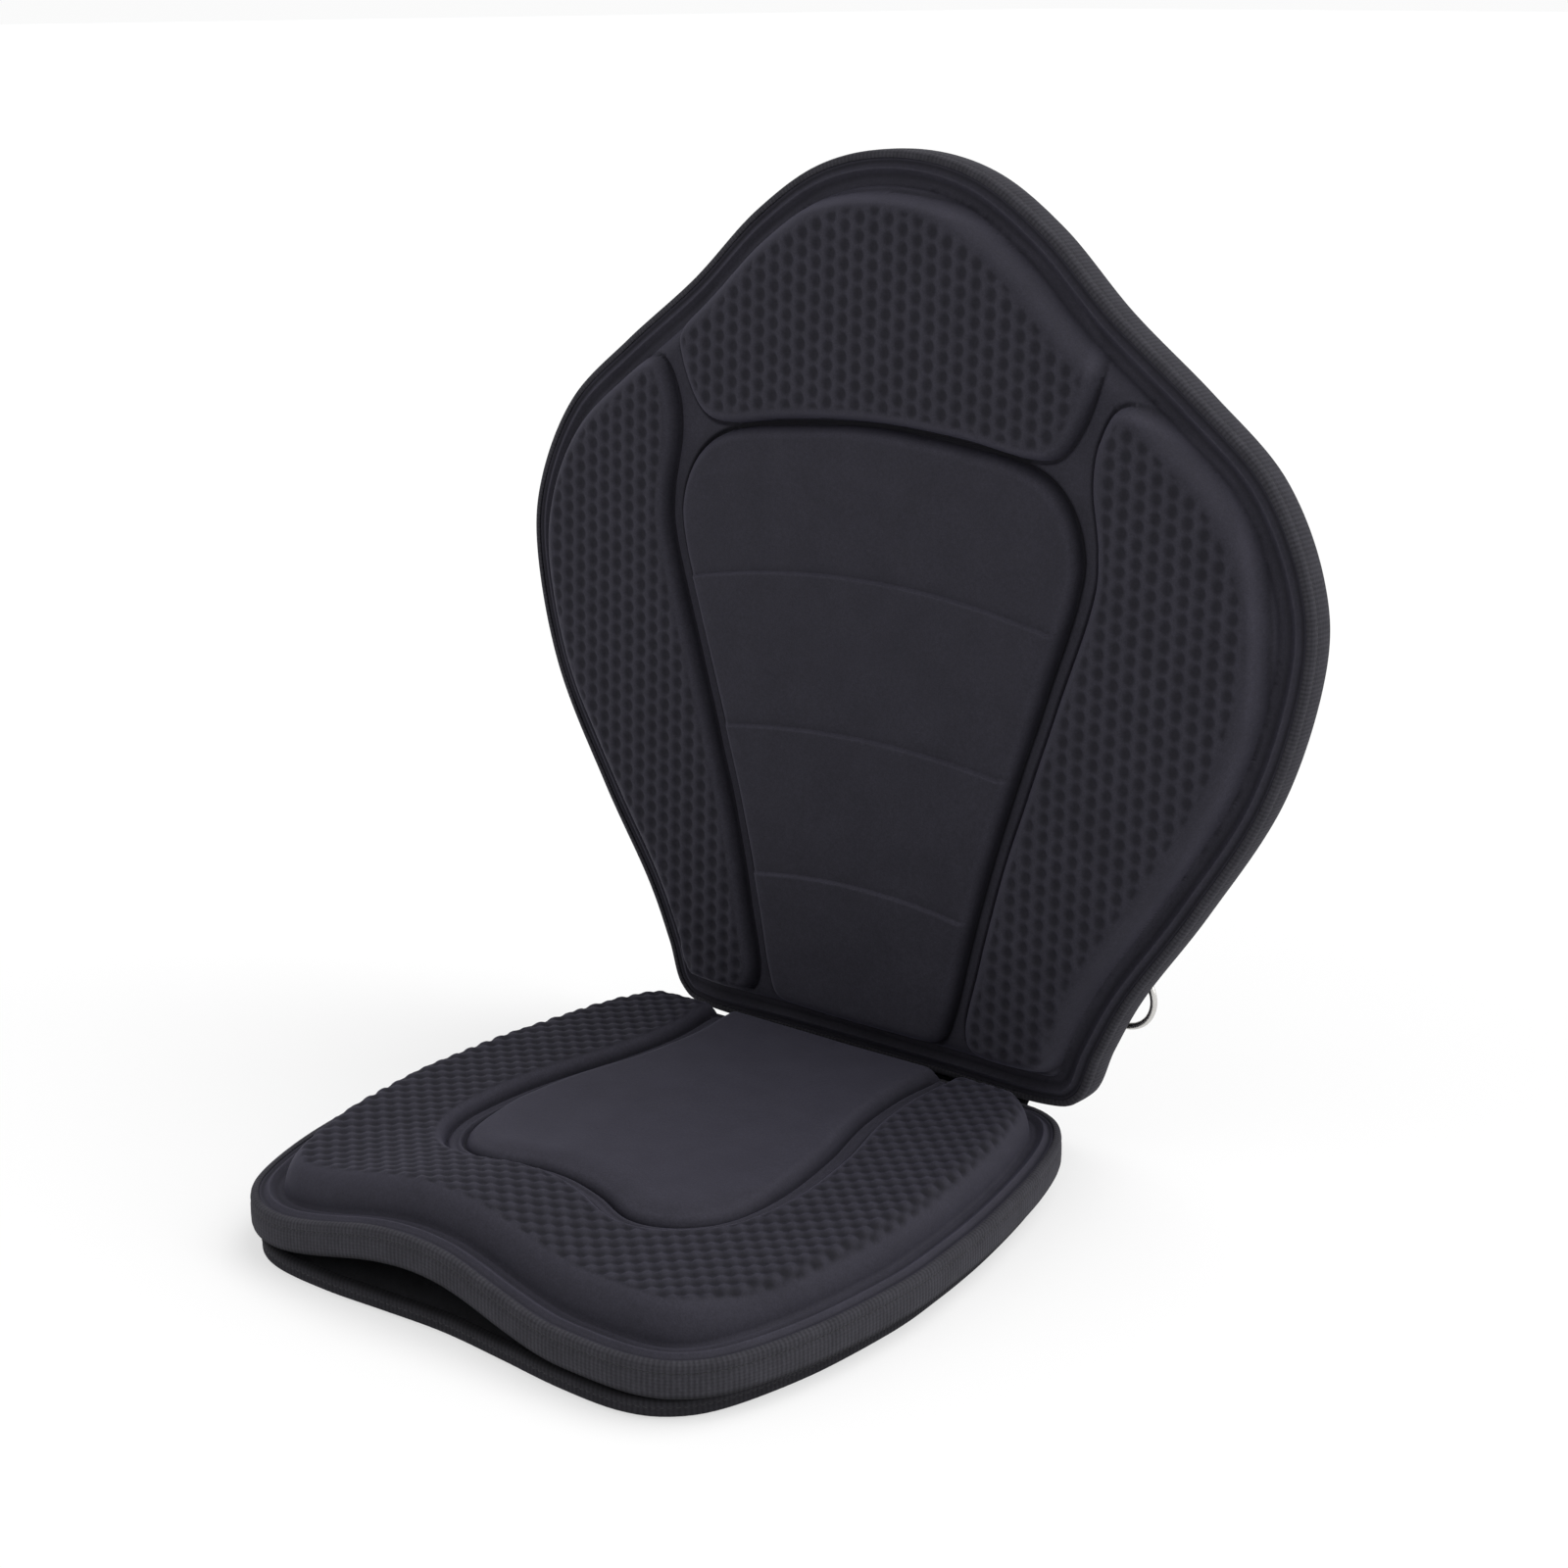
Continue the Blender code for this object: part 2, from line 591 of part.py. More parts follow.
def make_seam_tape(frame, offset, cloth):
    """The tape over the seam where the hinge cloth is sewn to the back of the backrest."""
    half = HINGE_CLOTH_WIDTH / 2
    low = BACK_LOOP[:, 1].min() + SEAM_TAPE_BASE
    corners = [(-half, low), (half, low), (half, low + SEAM_TAPE_HEIGHT), (-half, low + SEAM_TAPE_HEIGHT)]
    top = REAR_FOAM_REAR - GAP
    add_object("hinge_seam_tape", prism("hinge_seam_tape", corners, top - CLOTH, top), cloth, frame, offset)


# Straps

def strap_frame(frame, side, name):
    """An empty on the back of the backrest. Its X runs out along the strap, its Z away from the back."""
    made = bpy.data.objects.new(f"strap_line_{name}", None)
    bpy.context.scene.collection.objects.link(made)
    made.parent = frame
    across, up = STRAP_START
    _, up_offset, forward = back_offset()
    made.location = (side * across, up + up_offset, REAR_FOAM_REAR + forward)
    turn = -STRAP_ANGLE if side > 0 else math.pi + STRAP_ANGLE
    made.rotation_euler = (math.pi, 0, -turn)
    return made


def strap_path():
    """The folded strap's middle line: along the back, round the ring, back and round the slider's bar."""
    points = [(0.0, STRAP_HEIGHT)]
    points += arc_points((STRAP_LENGTH, RING_HEIGHT), FOLD_RADIUS, -90, 90)
    points += arc_points((SLIDER_PLACE, SLIDER_HEIGHT), BAR_RADIUS, 90, 270)
    points.append((SLIDER_PLACE + STRAP_TAIL, SLIDER_HEIGHT - BAR_RADIUS))
    return points


def arc_points(centre, radius, start, end, count=7):
    angles = np.radians(np.linspace(start, end, count))
    return [(centre[0] + radius * math.cos(a), centre[1] + radius * math.sin(a)) for a in angles]


def ribbon_outline(path, thickness):
    """The closed outline of a band of this thickness along the path."""
    path = np.array(path)
    along = np.gradient(path, axis=0)
    along /= np.linalg.norm(along, axis=1)[:, None]
    normal = np.column_stack([-along[:, 1], along[:, 0]]) * thickness / 2
    return np.vstack([path + normal, (path - normal)[::-1]])


# Heights above the backrest's back: the strap's lower layer, then what its fold and its end go round
PATCH_TOP = GAP + CLOTH
STRAP_HEIGHT = PATCH_TOP + GAP + CLOTH / 2
BAR_RADIUS = math.hypot(SLIDER_BAR, SLIDER_SIZE[2]) / 2 + GAP + CLOTH / 2
FOLD_RADIUS = max(RING_WIRE + GAP, BAR_RADIUS + GAP / 2) + CLOTH / 2
RING_HEIGHT = STRAP_HEIGHT + FOLD_RADIUS
SLIDER_HEIGHT = STRAP_HEIGHT + 2 * FOLD_RADIUS - BAR_RADIUS


def make_strap(frame, side, name, webbing, metal, cloth):
    line = strap_frame(frame, side, name)
    half = STRAP_WIDTH / 2
    corners = ribbon_outline(strap_path(), CLOTH)
    band = add_object(f"strap_{name}", prism(f"strap_{name}", corners, -half, half), webbing, line)
    band.rotation_euler = (math.pi / 2, 0, 0)
    length, width = PATCH_SIZE
    patch_corners = [(-length / 2, -width / 2), (length / 2, -width / 2), (length / 2, width / 2),
                     (-length / 2, width / 2)]
    add_object(f"strap_patch_{name}", prism(f"strap_patch_{name}", patch_corners, GAP, PATCH_TOP), cloth, line)
    add_object(f"strap_ring_{name}", ring_mesh(f"strap_ring_{name}"), metal, line)
    make_slider(name, metal, line)


def ring_mesh(name, sides=8, step=24):
    """A D ring of round wire: a straight bar in the strap's fold and a bow outside it."""
    half = RING_WIDTH / 2 - RING_WIRE
    bow = [(STRAP_LENGTH + RING_REACH * math.sin(a), -half * math.cos(a)) for a in np.linspace(0, math.pi, step)]
    bow = smooth_loop([(STRAP_LENGTH, 0.0)] + bow, RING_STEP)
    along = np.roll(bow, -1, axis=0) - np.roll(bow, 1, axis=0)
    along /= np.linalg.norm(along, axis=1)[:, None]
    normal = np.column_stack([-along[:, 1], along[:, 0]])
    bm = bmesh.new()
    rows = []
    for (x, y), (nx, ny) in zip(bow, normal):
        row = []
        for turn in np.linspace(0, 2 * math.pi, sides, endpoint=False):
            out, up = RING_WIRE * math.cos(turn), RING_WIRE * math.sin(turn)
            row.append(bm.verts.new((x + nx * out, y + ny * out, RING_HEIGHT + up)))
        rows.append(row)
    for index, row in enumerate(rows):
        other = rows[(index + 1) % len(rows)]
        for here in range(sides):
            there = (here + 1) % sides
            bm.faces.new((row[here], row[there], other[there], other[here]))
    return finished_mesh(name, bm, 60)


def make_slider(name, metal, line):
    """A flat three-bar slider, whose middle bar the strap's end goes round."""
    length, width, thickness = SLIDER_SIZE
    x, z = SLIDER_PLACE, SLIDER_HEIGHT
    rows = [x - length / 2, x - length / 2 + SLIDER_RIM, x - SLIDER_BAR / 2, x + SLIDER_BAR / 2,
            x + length / 2 - SLIDER_RIM, x + length / 2]
    inner = STRAP_WIDTH / 2 + SLIDER_ROOM
    columns = [-width / 2, -inner, inner, width / 2]
    bm = bmesh.new()
    grid = [[bm.verts.new((row, column, z - thickness / 2)) for column in columns] for row in rows]
    faces = []
    for i in range(5):
        for j in range(3):
            if j == 1 and i in (1, 3):
                continue
            faces.append(bm.faces.new((grid[i][j], grid[i + 1][j], grid[i + 1][j + 1], grid[i][j + 1])))
    raised = bmesh.ops.extrude_face_region(bm, geom=faces)
    for item in raised["geom"]:
        if isinstance(item, bmesh.types.BMVert):
            item.co.z = z + thickness / 2
    add_object(f"strap_slider_{name}", finished_mesh(f"strap_slider_{name}", bm), metal, line)


def main():
    clear_scene()
    pad = material("pad_fabric", (0.026, 0.025, 0.033), 0.75)
    tape = material("edge_tape", (0.032, 0.033, 0.033), 0.85)
    cloth = material("lining_cloth", (0.020, 0.020, 0.022), 0.85)
    foam = material("panel_fabric", (0.024, 0.024, 0.028), 0.8)
    board = material("stiffener_plastic", (0.05, 0.05, 0.05), 0.5)
    webbing = material("strap_webbing", (0.018, 0.018, 0.020), 0.85)
    metal = material("strap_metal", (0.62, 0.62, 0.62), 0.28, 1.0)
    make_seat_base(cloth, foam, tape)
    make_seat_shell(pad, tape, cloth)
    make_hinge_cloth(cloth)
    frame = backrest_frame()
    make_backrest(frame, pad, board, foam, tape, cloth)
    for side, name in ((1, "right"), (-1, "left")):
        make_strap(frame, side, name, webbing, metal, cloth)


main()
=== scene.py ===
"""Padded kayak seat: moulded fabric pads, sewn edge tapes, a cloth hinge and stowed side straps.

Metres, +Z up, the origin at the centre of the seat's underside, -Y the front.
The backrest is drawn flat as (across, up, forward of its pads' face) and then stood on its fold line.
"""

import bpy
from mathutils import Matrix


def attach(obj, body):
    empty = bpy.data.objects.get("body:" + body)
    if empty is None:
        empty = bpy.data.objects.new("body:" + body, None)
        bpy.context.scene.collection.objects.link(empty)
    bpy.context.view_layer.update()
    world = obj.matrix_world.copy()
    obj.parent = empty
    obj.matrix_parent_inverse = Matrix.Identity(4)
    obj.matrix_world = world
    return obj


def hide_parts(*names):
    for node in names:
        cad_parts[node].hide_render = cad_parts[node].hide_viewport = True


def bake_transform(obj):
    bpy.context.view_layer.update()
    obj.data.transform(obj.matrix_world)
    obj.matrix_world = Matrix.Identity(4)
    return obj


bl_info = {
    "name": "Padded Kayak Seat",
    "version": (1, 0, 0),
    "blender": (4, 5, 0),
    "location": "View3D > Sidebar > Kayak Seat",
    "description": "Builds a folding padded kayak seat with moulded pads and sewn edges",
    "category": "Add Mesh",
}

import math

import bmesh
import bpy
import numpy as np
from bpy.props import FloatProperty, FloatVectorProperty, PointerProperty
from mathutils import Euler, Matrix, Vector
from mathutils.geometry import delaunay_2d_cdt

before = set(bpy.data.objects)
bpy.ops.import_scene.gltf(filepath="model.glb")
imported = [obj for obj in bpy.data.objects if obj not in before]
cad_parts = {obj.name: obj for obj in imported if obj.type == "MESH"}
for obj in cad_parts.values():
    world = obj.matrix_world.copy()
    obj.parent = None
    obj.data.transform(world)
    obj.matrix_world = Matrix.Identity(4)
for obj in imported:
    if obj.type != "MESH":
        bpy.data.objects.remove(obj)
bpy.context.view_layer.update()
MM = 0.001

# Sizes shared with the solids
SEAT_WIDTH = 0.325
BASE_OVERHANG = 0.0075
SEAT_LENGTH = 0.3115
BACK_WIDTH = 0.466
BACK_HEIGHT = 0.4615
BACK_RECLINE = math.radians(1.9)
SEAT_OUTLINE = [(0.0, -0.152), (0.035, -0.1540), (0.070, -0.1565), (0.103, -0.1550), (0.1235, -0.1455),
                (0.138, -0.1250), (0.150, -0.0850), (0.1565, -0.0350), (0.1565, 0.0), (0.153, 0.0450),
                (0.144, 0.0980), (0.132, 0.1340), (0.114, 0.1520), (0.085, 0.1550), (0.030, 0.1550)]
HEART_OUTLINE = [(0.0, -0.0665), (0.021, -0.0700), (0.042, -0.0765), (0.061, -0.0690), (0.0745, -0.0500),
                 (0.0780, -0.0190), (0.0735, 0.0220), (0.064, 0.0640), (0.0610, 0.1000), (0.063, 0.1300),
                 (0.060, 0.1480), (0.030, 0.1500)]
BACK_OUTLINE = [(0.0, 0.4465), (0.045, 0.4385), (0.085, 0.4140), (0.124, 0.3780), (0.168, 0.3440),
                (0.2065, 0.3100), (0.229, 0.2660), (0.233, 0.2230), (0.2175, 0.1600), (0.184, 0.0990),
                (0.1525, 0.0500), (0.137, 0.0180), (0.127, -0.0070), (0.106, -0.0150), (0.040, -0.0150)]
CROWN_OUTLINE = [(0.0, 0.4270), (0.048, 0.4200), (0.083, 0.4030), (0.108, 0.3810), (0.122, 0.3580),
                 (0.119, 0.3350), (0.106, 0.3130), (0.088, 0.3090), (0.050, 0.3145), (0.0, 0.3175)]
PANEL_OUTLINE = [(0.0, 0.3145), (0.050, 0.3110), (0.088, 0.3050), (0.108, 0.2920), (0.118, 0.2700),
                 (0.1165, 0.2450), (0.101, 0.1925), (0.086, 0.1430), (0.074, 0.1000), (0.065, 0.0600),
                 (0.0575, 0.0240), (0.050, 0.0080), (0.030, 0.0040)]
WING_OUTLINE = [(0.138, 0.3380), (0.165, 0.3290), (0.192, 0.3080), (0.2085, 0.2720), (0.2145, 0.2300),
                (0.2095, 0.1850), (0.186, 0.1310), (0.155, 0.0780), (0.132, 0.0380), (0.117, 0.0100),
                (0.095, 0.0040), (0.074, 0.0060), (0.0665, 0.0200), (0.073, 0.0540), (0.083, 0.1000),
                (0.0955, 0.1430), (0.1105, 0.1925), (0.1265, 0.2450), (0.128, 0.2700), (0.1235, 0.3000),
                (0.126, 0.3220)]
PANEL_STEPS = [(0.2410, 0.2270), (0.1600, 0.1520), (0.0820, 0.0750)]

PAD_RISE = 0.018
PAD_SLOPE = 0.011
CHANNEL_SLOPE = 0.006
CHANNEL_WIDTH = 0.010
CHANNEL_DEPTH_SHARE = 0.5
SEAT_RIM = 0.0155
BACK_RIM = 0.0165
CLOTH = 0.0012
GAP = 0.0003
BASE_FOAM = 0.0068
SEAT_FOAM = 0.0135
BACK_FOAM = 0.0090
STIFFENER = 0.0020
REAR_FOAM = 0.0040
PANEL_GAP = 0.0006
LINING_GAP = 0.0007
TAPE_WIDTH = 0.012
TAPE_ROUND = 0.0022
ARCH_RISE = 0.0140
ARCH_CENTRE = -0.0225
ARCH_HALF_WIDTH = 0.092
ARCH_DEPTH = 0.150
ARCH_FRONT_SHARE = 0.5024
FOLD_ON_BACK = 0.0064
FOLD_FRONT_OF_BACK_PAD = 0.0019
BACK_SET_BACK = -0.0046
FOLD_ABOVE_SEAT_PAD = 0.0006
HINGE_CLOTH_WIDTH = 0.180
HINGE_CLOTH_SWEEP = (math.radians(-81), math.radians(-15))
HINGE_SWING_GAP = 0.0006
SEAM_TAPE_HEIGHT = 0.025
SEAM_TAPE_BASE = 0.030
STRAP_START = (0.0920, 0.0715)
STRAP_ANGLE = math.radians(-30.6)
STRAP_WIDTH = 0.025
STRAP_LENGTH = 0.053
STRAP_TAIL = 0.0068
SLIDER_PLACE = 0.0262
SLIDER_SIZE = (0.0230, 0.0330, 0.0020)
SLIDER_BAR = 0.0020
SLIDER_RIM = 0.0032
SLIDER_ROOM = 0.0009
RING_WIRE = 0.0018
RING_WIDTH = 0.034
RING_REACH = 0.016
PATCH_SIZE = (0.030, 0.038)

# How finely things are drawn
CAD_OUTLINE_STEP = 0.0165
CAD_CONTOUR_STEP = 0.0140
FINE_STEP = 0.002
FIELD_STEP = 0.003
LATTICE_SAMPLES = 7
OPEN_GRID = 0.0045
POINT_GAP = 0.0005
PLAIN_GAP = 0.0026
STITCH_RINGS = 5
STITCH_SIDES = 6
NEARLY_ZERO = 1e-12


# Outlines

def stretched(points, drawn, width, length):
    """Points drawn on one outline, stretched to this width and length about that outline's middle line."""
    xs, ys = np.array(drawn).T
    sides = np.array([width / (2 * xs.max()), length / np.ptp(ys)])
    return [tuple(point) for point in np.array(points) * sides]


def mirrored(half):
    """A closed outline from its right half, whose first point is on the middle line."""
    return half + [(-x, y) for x, y in reversed(half) if x > 0]


def smooth_loop(corners, step):
    """Evenly spaced points on the smooth closed curve through these corners."""
    corners = np.array(corners)
    before, after, beyond = (np.roll(corners, shift, axis=0) for shift in (1, -1, -2))
    t = np.linspace(0, 1, 24, endpoint=False)[None, :, None]
    p0, p1, p2, p3 = (side[:, None, :] for side in (before, corners, after, beyond))
    curve = 0.5 * (2 * p1 + (p2 - p0) * t + (2 * p0 - 5 * p1 + 4 * p2 - p3) * t**2
                   + (3 * p1 - p0 - 3 * p2 + p3) * t**3)
    return evenly(curve.reshape(-1, corners.shape[1]), step, closed=True)


def evenly(points, step, closed=False):
    """Points at about this step along a line."""
    if closed:
        points = np.vstack([points, points[:1]])
    along = distances(points)
    count = max(12, round(along[-1] / step))
    wanted = np.linspace(0, along[-1], count, endpoint=not closed)
    return np.column_stack([np.interp(wanted, along, column) for column in points.T])


def distances(points):
    """How far along a line each of its points lies."""
    return np.concatenate([[0], np.cumsum(np.linalg.norm(np.diff(points, axis=0), axis=1))])


def signed_area(loop):
    """The loop's area, negative where it runs clockwise."""
    x, y = loop.T
    return np.sum(x * np.roll(y, -1) - y * np.roll(x, -1)) / 2


def turned_left(loop):
    """The same loop, run anticlockwise."""
    return loop if signed_area(loop) > 0 else loop[::-1]


def left_normals(along):
    """Unit vectors to the left of these directions."""
    along = along / np.linalg.norm(along, axis=1)[:, None]
    return np.column_stack([-along[:, 1], along[:, 0]])


def loop_normals(loop):
    """Each point's own normal, inwards on a loop that runs anticlockwise."""
    return left_normals(np.roll(loop, -1, axis=0) - np.roll(loop, 1, axis=0))


def inset(loop, distance):
    """The loop's points, each moved inwards along its own normal."""
    return loop + loop_normals(loop) * distance


def depth_inside(points, loop):
    """How far each point lies inside a closed loop; negative outside it."""
    pieces = np.array_split(points, len(points) // 2500 + 1)
    return np.concatenate([depth_of_some(piece, loop) for piece in pieces])


def depth_of_some(points, loop):
    """What depth_inside gives, for few enough points to hold every pair in memory."""
    start, end = loop, np.roll(loop, -1, axis=0)
    side = end - start
    across = points[:, None, 0] - start[None, :, 0]
    up = points[:, None, 1] - start[None, :, 1]
    share = np.clip((across * side[:, 0] + up * side[:, 1]) / (side**2).sum(1), 0, 1)
    distance = np.sqrt(((across - share * side[:, 0]) ** 2 + (up - share * side[:, 1]) ** 2).min(axis=1))
    above = (up < 0) != (end[None, :, 1] > points[:, None, 1])
    rise = np.where(side[:, 1] == 0, NEARLY_ZERO, side[:, 1])
    crossing = start[:, 0] + up * side[:, 0] / rise
    inside = (above & (points[:, None, 0] < crossing)).sum(axis=1) % 2 == 1
    return np.where(inside, distance, -distance)


def clean_inset(loop, distance):
    """The loop moved inwards. Points that a corner pushes too near the edge are spread between good ones."""
    moved = inset(loop, distance)
    good = depth_inside(moved, loop) > 0.93 * distance - 1e-6
    if distance <= 0 or good.all():
        return moved
    index = np.arange(len(loop))
    columns = [np.interp(index, index[good], column[good], period=len(loop)) for column in moved.T]
    return np.column_stack(columns)


def seat_points(points):
    return stretched(points, SEAT_OUTLINE, SEAT_WIDTH, SEAT_LENGTH)


def back_points(points):
    return stretched(points, BACK_OUTLINE, BACK_WIDTH, BACK_HEIGHT)


def outline(points, step):
    return turned_left(smooth_loop(mirrored(points), step))


def pad_foot(points, rim, step):
    """The foot of a pad's slope, this far inside its outline."""
    return turned_left(smooth_loop(inset(outline(points, CAD_OUTLINE_STEP), rim), step))


SEAT_HALF, HEART_HALF = seat_points(SEAT_OUTLINE), seat_points(HEART_OUTLINE)
BACK_HALF, CROWN_HALF = back_points(BACK_OUTLINE), back_points(CROWN_OUTLINE)
PANEL_HALF = back_points(PANEL_OUTLINE)
BASE_HALF = stretched(SEAT_OUTLINE, SEAT_OUTLINE, SEAT_WIDTH - 2 * BASE_OVERHANG, SEAT_LENGTH)
SEAT_LOOP = outline(SEAT_HALF, FINE_STEP)
BASE_LOOP = outline(BASE_HALF, FINE_STEP)
BACK_LOOP = outline(BACK_HALF, FINE_STEP)

# Heights of the seat's layers
BASE_FOAM_LOW = CLOTH + GAP
BASE_FOAM_HIGH = BASE_FOAM_LOW + BASE_FOAM
BASE_TAPE_HIGH = BASE_FOAM_HIGH + GAP + CLOTH
SEAT_TAPE_LOW = BASE_TAPE_HIGH + PANEL_GAP
SEAT_FOAM_LOW = SEAT_TAPE_LOW + CLOTH + LINING_GAP
SEAT_FLANGE = SEAT_FOAM_LOW + SEAT_FOAM
SEAT_TAPE_HIGH = SEAT_FLANGE + GAP + CLOTH
SEAT_PAD_TOP = SEAT_FLANGE + PAD_RISE

# Heights of the backrest's layers, forwards from the face of its pads
BACK_FLANGE = -PAD_RISE
BACK_FOAM_REAR = BACK_FLANGE - BACK_FOAM
REAR_FOAM_FRONT = BACK_FOAM_REAR - 2 * GAP - STIFFENER
REAR_FOAM_REAR = REAR_FOAM_FRONT - REAR_FOAM
BACK_TAPE_FRONT = BACK_FLANGE + GAP + CLOTH
BACK_TAPE_REAR = REAR_FOAM_REAR - GAP - CLOTH

SEAT_REAR = outline(SEAT_HALF, CAD_OUTLINE_STEP)[:, 1].max()
BACK_LOW = outline(BACK_HALF, CAD_OUTLINE_STEP)[:, 1].min()
FOLD_Y = SEAT_REAR + BACK_SET_BACK - FOLD_FRONT_OF_BACK_PAD
FOLD_Z = SEAT_PAD_TOP + FOLD_ABOVE_SEAT_PAD
FOLD_FRAME = Matrix.Translation((0, FOLD_Y, FOLD_Z)) @ Matrix.Rotation(math.pi / 2 - BACK_RECLINE, 4, "X")
EDGE_INSET = CLOTH + GAP
CLOTH_INSET = TAPE_WIDTH + GAP


def moved_by(matrix, points):
    """Points taken through a matrix."""
    matrix = np.array(matrix)
    return points @ matrix[:3, :3].T + matrix[:3, 3]


def on_backrest(points):
    """Points on the backrest's drawing, stood up in their real place."""
    return moved_by(FOLD_FRAME, points - (0, FOLD_ON_BACK, FOLD_FRONT_OF_BACK_PAD))


def seat_arch(points):
    """How far the front edge's arch lifts each point of the seat pad's layers."""
    front = -SEAT_LENGTH * ARCH_FRONT_SHARE
    across = np.clip((points[:, 0] - ARCH_CENTRE) / ARCH_HALF_WIDTH, -1, 1)
    back = np.clip((points[:, 1] - front) / ARCH_DEPTH, 0, 1)
    return ARCH_RISE * np.cos(across * math.pi / 2) ** 2 * np.cos(back * math.pi / 2) ** 2


def no_lift(points):
    return np.zeros(len(points))


# Surface forms

def eased(share):
    """0 to 1, starting and ending gently."""
    share = np.clip(share, 0, 1)
    return share * share * (3 - 2 * share)


def rounded_rise(distance, run, power=0.6):
    """0 at the foot of a slope and 1 at its top: steep at the foot and round at the shoulder."""
    share = np.clip(distance / run, 0, 1)
    return (1 - (1 - share) ** 2) ** power


def knotted(distance, knots):
    """A smooth height through (distance, height) knots."""
    xs, ys = np.array(knots).T
    index = np.clip(np.searchsorted(xs, distance, side="right") - 1, 0, len(xs) - 2)
    share = eased((distance - xs[index]) / (xs[index + 1] - xs[index]))
    return ys[index] + (ys[index + 1] - ys[index]) * share


def hump(distance, centre, half_width):
    """1 at the centre and 0 at this distance from it."""
    return np.cos(np.clip((distance - centre) / half_width, -1, 1) * math.pi / 2) ** 2


def gentle_waves(points, seed, height=0.15 * MM):
    """The slight unevenness of a moulded pad."""
    rng = np.random.default_rng(seed)
    total = np.zeros(len(points))
    for _ in range(7):
        angle, length = rng.uniform(0, math.pi), rng.uniform(0.030, 0.085)
        start = rng.uniform(0, 2 * math.pi)
        along = points[:, 0] * math.cos(angle) + points[:, 1] * math.sin(angle)
        total += np.sin(2 * math.pi * along / length + start)
    return total * height / 2.6


def pit_pattern(points, pitch, lines, fine):
    """The pressed texture: 1 in the middle of each pit and -1 on the nubs between them.

    The pits stand in columns, each half a row on from the last. lines joins the pits down each column,
    and fine breaks them into smaller ones.
    """
    column, row = pitch
    x = points[:, 0] * math.pi / column
    y = points[:, 1] * 2 * math.pi / row
    wave = (np.cos(x) + fine * np.cos(3 * x)) * np.cos(y) + lines * np.cos(2 * x)
    return np.tanh(1.5 * wave)


def pit_grid(low, high, pitch):
    """Points in step with the pressed texture."""
    axes = []
    for start, end, size in zip(low, high, pitch):
        step = size / LATTICE_SAMPLES
        axes.append(np.arange(math.floor(start / step), math.ceil(end / step) + 1) * step)
    return np.array(np.meshgrid(*axes)).reshape(2, -1).T


def open_grid(low, high, step=OPEN_GRID):
    """A plain staggered grid."""
    rows = []
    for index, y in enumerate(np.arange(low[1], high[1], step * 0.866)):
        xs = np.arange(low[0] + step / 2 * (index % 2), high[0], step)
        rows.append(np.column_stack([xs, np.full(len(xs), y)]))
    return np.vstack(rows)


def contours(loop, shares):
    """Lines at these distances inside the loop, without the points that its corners push too near an edge."""
    lines = []
    for distance in shares:
        moved = inset(loop, distance)
        depth = depth_inside(moved, loop)
        limit = 0.97 * distance
        lines.append(moved[depth > limit - 1e-6] if distance >= 0 else moved[depth < limit + 1e-6])
    return np.vstack(lines)


def spread(groups, gap=POINT_GAP):
    """Every group's points, in order, without those that come nearer than the gap to an earlier group."""
    taken, kept = {}, []
    for group in groups:
        fresh = []
        for x, y in group.tolist():
            column, row = int(x // gap), int(y // gap)
            near = [other for i in (-1, 0, 1) for j in (-1, 0, 1)
                    for other in taken.get((column + i, row + j), ())]
            if all(math.hypot(x - a, y - b) > gap for a, b in near):
                fresh.append((x, y))
        for x, y in fresh:
            taken.setdefault((int(x // gap), int(y // gap)), []).append((x, y))
        kept += fresh
    return np.array(kept)


# Mesh builders

def triangulated(loop, inner):
    """Flat triangles inside the loop, with the loop's own points first."""
    points = np.vstack([loop, inner]) if len(inner) else loop
    made = delaunay_2d_cdt([Vector(point) for point in points], [], [list(range(len(loop)))], 1, 1e-7)
    flat, faces, sources = np.array([tuple(point) for point in made[0]]), np.array(made[2]), made[3]
    place = {source: index for index, group in enumerate(sources) for source in group}
    first = [place[index] for index in range(len(loop))]
    order = np.array(first + sorted(set(range(len(flat))) - set(first)))
    rank = np.empty(len(flat), int)
    rank[order] = np.arange(len(flat))
    return flat[order], rank[faces]


def level(height):
    """A flat surface at this height."""
    return lambda flat: np.full(len(flat), height)


def plain_top(height):
    """What a smooth sheet's upper surface gives: its height, no sink, and the middle of the painted shade and
    tone.
    """
    return height, np.zeros(len(height)), np.full(len(height), 0.5)


def vertex_normals(points, faces):
    sides = points[faces]
    normals = np.cross(sides[:, 1] - sides[:, 0], sides[:, 2] - sides[:, 0])
    total = np.zeros_like(points)
    for corner in range(3):
        np.add.at(total, faces[:, corner], normals)
    return total / np.linalg.norm(total, axis=1)[:, None]


def new_mesh(name, points, faces, painted_shade_and_tone=None):
    mesh = bpy.data.meshes.new(name)
    mesh.from_pydata(points, [], faces)
    mesh.shade_smooth()
    if painted_shade_and_tone is not None:
        values = mesh.attributes.new("painted_shade_and_tone", "FLOAT", "POINT").data
        values.foreach_set("value", painted_shade_and_tone.astype(np.float32))
    return mesh


def add_piece(name, mesh, look, body, slot, *nodes):
    """Puts a finished mesh in the scene, on its body and in place of its solids."""
    mesh.validate()
    piece = bpy.data.objects.new(name, mesh)
    bpy.context.scene.collection.objects.link(piece)
    mesh.materials.append(look)
    if body:
        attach(piece, body)
    if nodes:
        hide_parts(*nodes)
    return piece


